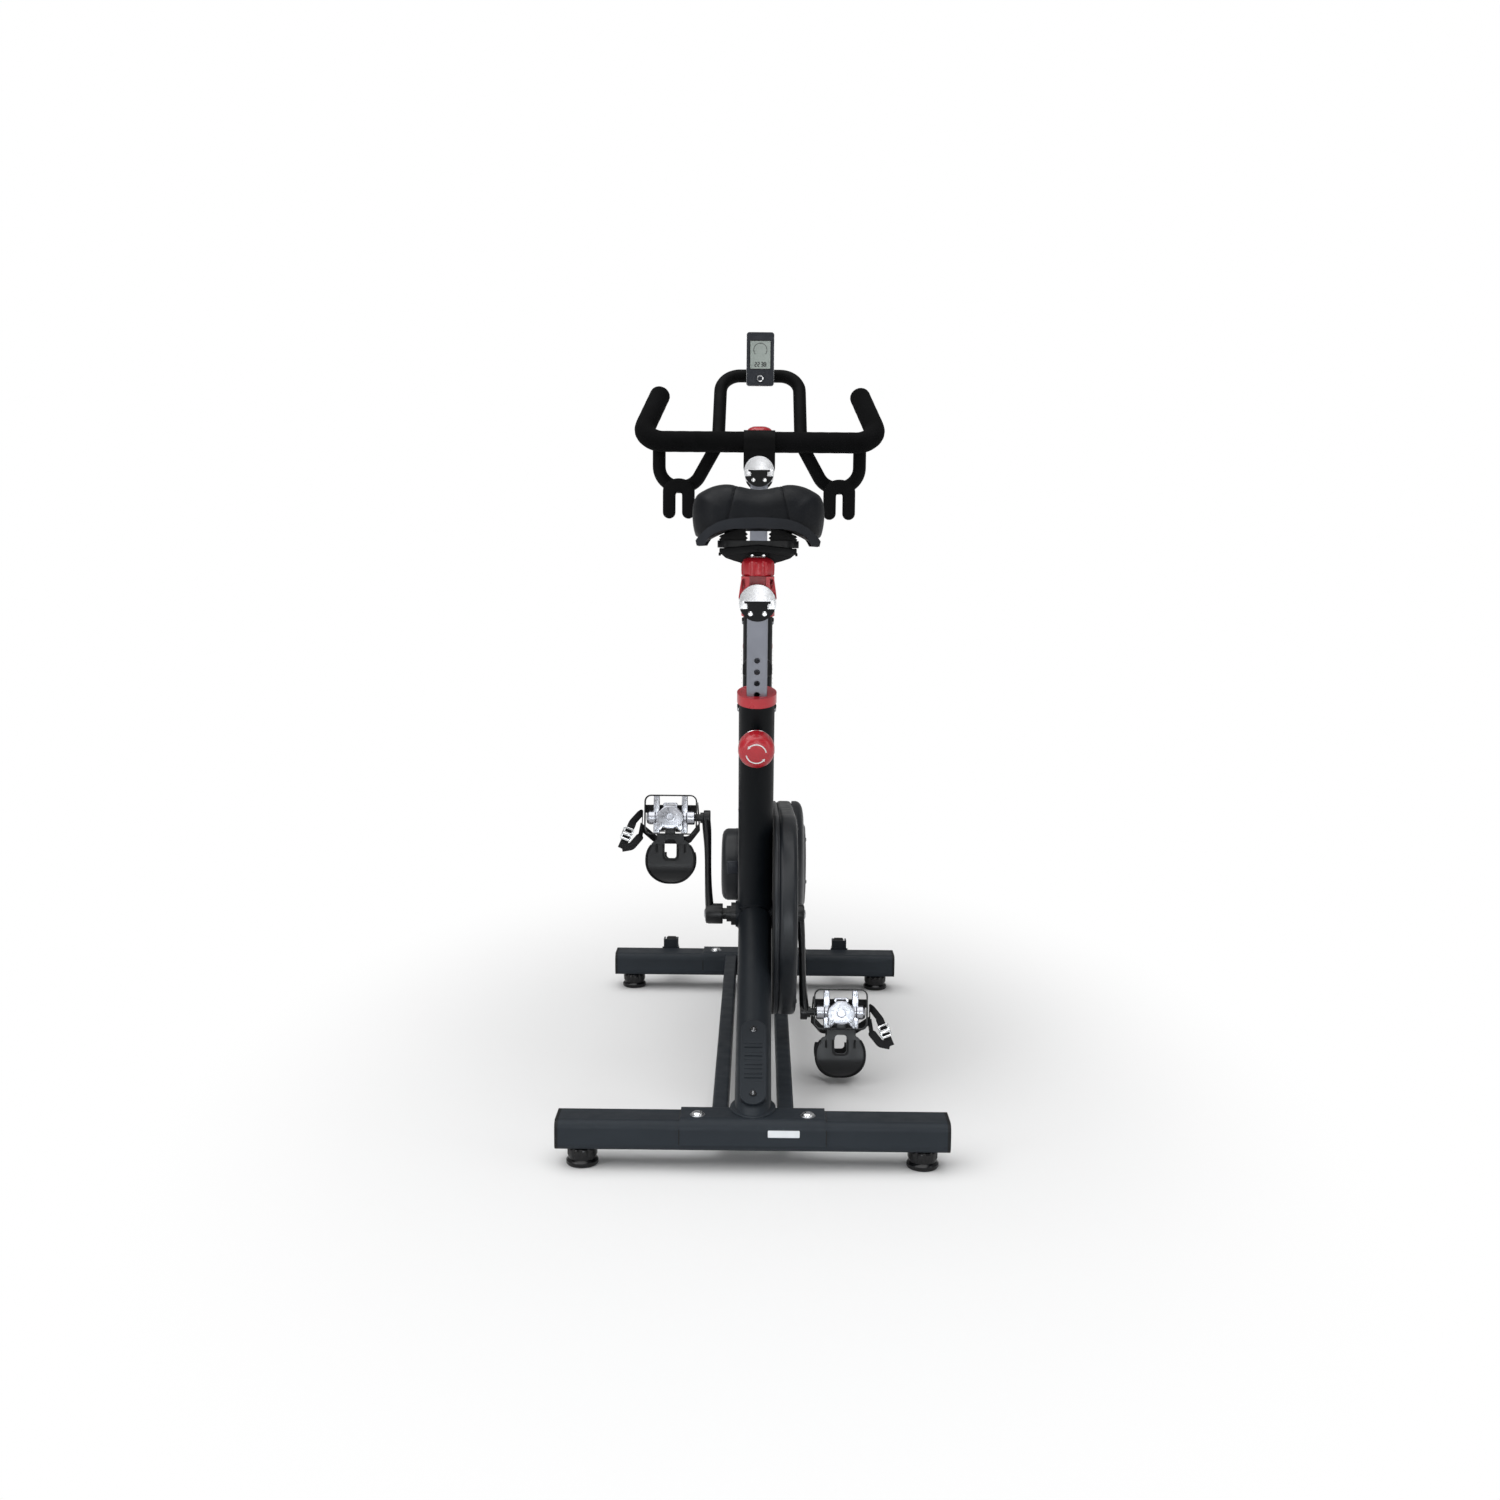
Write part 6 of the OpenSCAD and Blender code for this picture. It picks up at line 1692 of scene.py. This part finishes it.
def console_shell():
    """Case round the display, its trim, its arm and clasp, and the marks on the panel."""
    centre = mid("console_case")
    face = low("console_case").y
    screen = mid("console_screen")
    width, height = 54 * MM, 104 * MM
    opening = soft_box(40.6 * MM, 54.6 * MM, 2 * MM, (0, screen.z - centre.z), back=True)
    hole = ring_of(7.4 * MM, 40, (0, mid("console_button").z - centre.z), back=True)
    at = (0, face + 4 * MM, centre.z)
    front = flat_shape("console_front", [soft_box(width, height, 5 * MM), opening, hole], 8 * MM,
                       1.4 * MM, at, -Y, Z, 3)
    back = flat_shape("console_back", [soft_box(width - 1.2 * MM, height - 1.2 * MM, 5 * MM)],
                      12 * MM, 3 * MM, (0, face + 13.6 * MM, centre.z), -Y, Z, 3)
    arm = block("console_arm", (-14 * MM, face + 14 * MM, centre.z - 40 * MM),
                (14 * MM, high("console_case").y - 8 * MM, centre.z - 18 * MM), 4 * MM)
    clasp = turned("console_clasp", in_mm((16, -14), (17, -13), (17, 13), (16, 14)), 40,
                   (0, high("console_case").y - 16.7 * MM, loop_top), X)
    fit(join("console_shell", front, back, arm, clasp), "console", "console_face", slate,
        "console_case")
    trim = flat_shape("console_trim", [
        soft_box(width + 0.9 * MM, height + 0.9 * MM, 5.4 * MM),
        soft_box(width - 1.6 * MM, height - 1.6 * MM, 4.4 * MM, back=True)], 1.5 * MM, 0.4 * MM,
        (0, face + 7.6 * MM, centre.z), -Y, Z)
    fit(trim, "console", "button_metal", chrome)
    rim = flat_shape("window_rim", [
        soft_box(43 * MM, 57 * MM, 3 * MM, (0, screen.z - centre.z)),
        soft_box(40.4 * MM, 54.4 * MM, 2 * MM, (0, screen.z - centre.z), back=True)], 0.6 * MM,
        0.2 * MM, (0, face + 0.1 * MM, centre.z), -Y, Z)
    fit(rim, "console", "console_face", glossy_black)
    dial, start_angle, end_angle = (0, 9.5), -38, 218
    band = arc(dial, 13.6, start_angle, end_angle, 48)
    band += arc(dial, 12.6, end_angle, start_angle, 48)
    marks = [flat_shape("dial", [in_mm(*band)], 0.2 * MM)]
    for k in range(11):
        a = math.radians(start_angle + 25.6 * k)
        near, far = 10.9 if k % 5 == 0 else 11.7, 12.7
        u, v = math.cos(a), math.sin(a)
        tick = [(dial[0] + near * u - 0.25 * v, dial[1] + near * v + 0.25 * u),
                (dial[0] + near * u + 0.25 * v, dial[1] + near * v - 0.25 * u),
                (dial[0] + far * u + 0.25 * v, dial[1] + far * v - 0.25 * u),
                (dial[0] + far * u - 0.25 * v, dial[1] + far * v + 0.25 * u)]
        marks.append(flat_shape("tick", [in_mm(*tick)], 0.2 * MM))
    for k, value in enumerate(FIGURES):
        marks += digit(value, (-9.0 + 5.7 * k + (1.2 if k > 1 else 0), -18.5))
    piece = join("display_marks", *marks)
    turn_to(piece, (0, low("console_screen").y - 0.05 * MM, screen.z), -Y, Z)
    fit(piece, "console", "display", dark_print)


def console_push():
    """Dished bright button with a dark dome."""
    centre = mid("console_button")
    face = low("console_button").y
    at = (0, face + 6 * MM, centre.z)
    ring = turned("button_ring", in_mm(
        (6.6, 0), (6.8, 0.6), (6.8, 5), (6.1, 5.9), (5.2, 5.6), (4.6, 4.6), (1.5, 4.8)), 48,
        at, -Y)
    fit(ring, "console_push_button", "button_metal", chrome, "console_button")
    dome = turned("button_dome", in_mm((4.3, 4.2), (4.3, 4.8), (3.6, 5.4), (1.6, 5.8)), 40,
                  at, -Y)
    fit(dome, "console_push_button", "console_face", slate)


# ---------- small frame hardware ----------


def collar_screws():
    """Socket set screws under each red collar."""
    places = []
    for foot, up, length, radius in ((crank_at, post_up, SEAT_COLLAR_UP, 30 * MM),
                                     (axle_at, stem_up, STEM_COLLAR_UP, 29 * MM)):
        for sx in (-1, 1):
            places.append((foot + up * length + X * sx * (radius - 0.6 * MM), X * sx))
    fit(repeat(socket_head(4 * MM, 3.4 * MM, 1.7 * MM), "collar_set_screws", places), "frame",
        "black_parts", black_steel)


def boss_ferrules():
    """Bright hexagon nut and washer round each pull pin, on its boss."""
    nuts = []
    for joint, foot, up, reach, radius in (
            ("seat_pin_pull", crank_at, post_up, SEAT_PIN_UP, 44 * MM),
            ("handlebar_pin_pull", axle_at, stem_up, STEM_PIN_UP, 43 * MM)):
        along = Vector(joints[joint]["axis"]).normalized()
        seat = foot + up * reach
        bore = ring_of(5.4 * MM, 32, back=True)
        nuts.append(flat_shape("pin_washer", [ring_of(15.6 * MM, 64), bore], 1.6 * MM, 0.4 * MM,
                               seat + along * (radius + 0.6 * MM), along, up))
        nuts.append(flat_shape("pin_nut", [ring_of(13.6 * MM, 6), bore], 2.2 * MM, 0.6 * MM,
                               seat + along * (radius + 2 * MM), along, up))
    fit(join("pull_pin_ferrules", *nuts), "frame", "zinc_steel", chrome)


set_camera()
set_light()
set_floor()
finish_nodes()

frame_welds()
bracket_bolts()
bracket_edge_gaps()
access_cover_face()
levelling_feet()
end_cap_faces()
blank_label_plate()
collar_screws()
boss_ferrules()
belt_guard_shell()
axle_cover_shells()
crank_arms()
pedals()
lock_knobs()
pull_pins()
saddle_cover()
saddle_band()
saddle_base()
under_saddle()
saddle_slider()
rail_end_plates()
post_scales()
foam_grips()
loop_tubes()
hook_holders()
bar_clamp()
console_shell()
console_push()
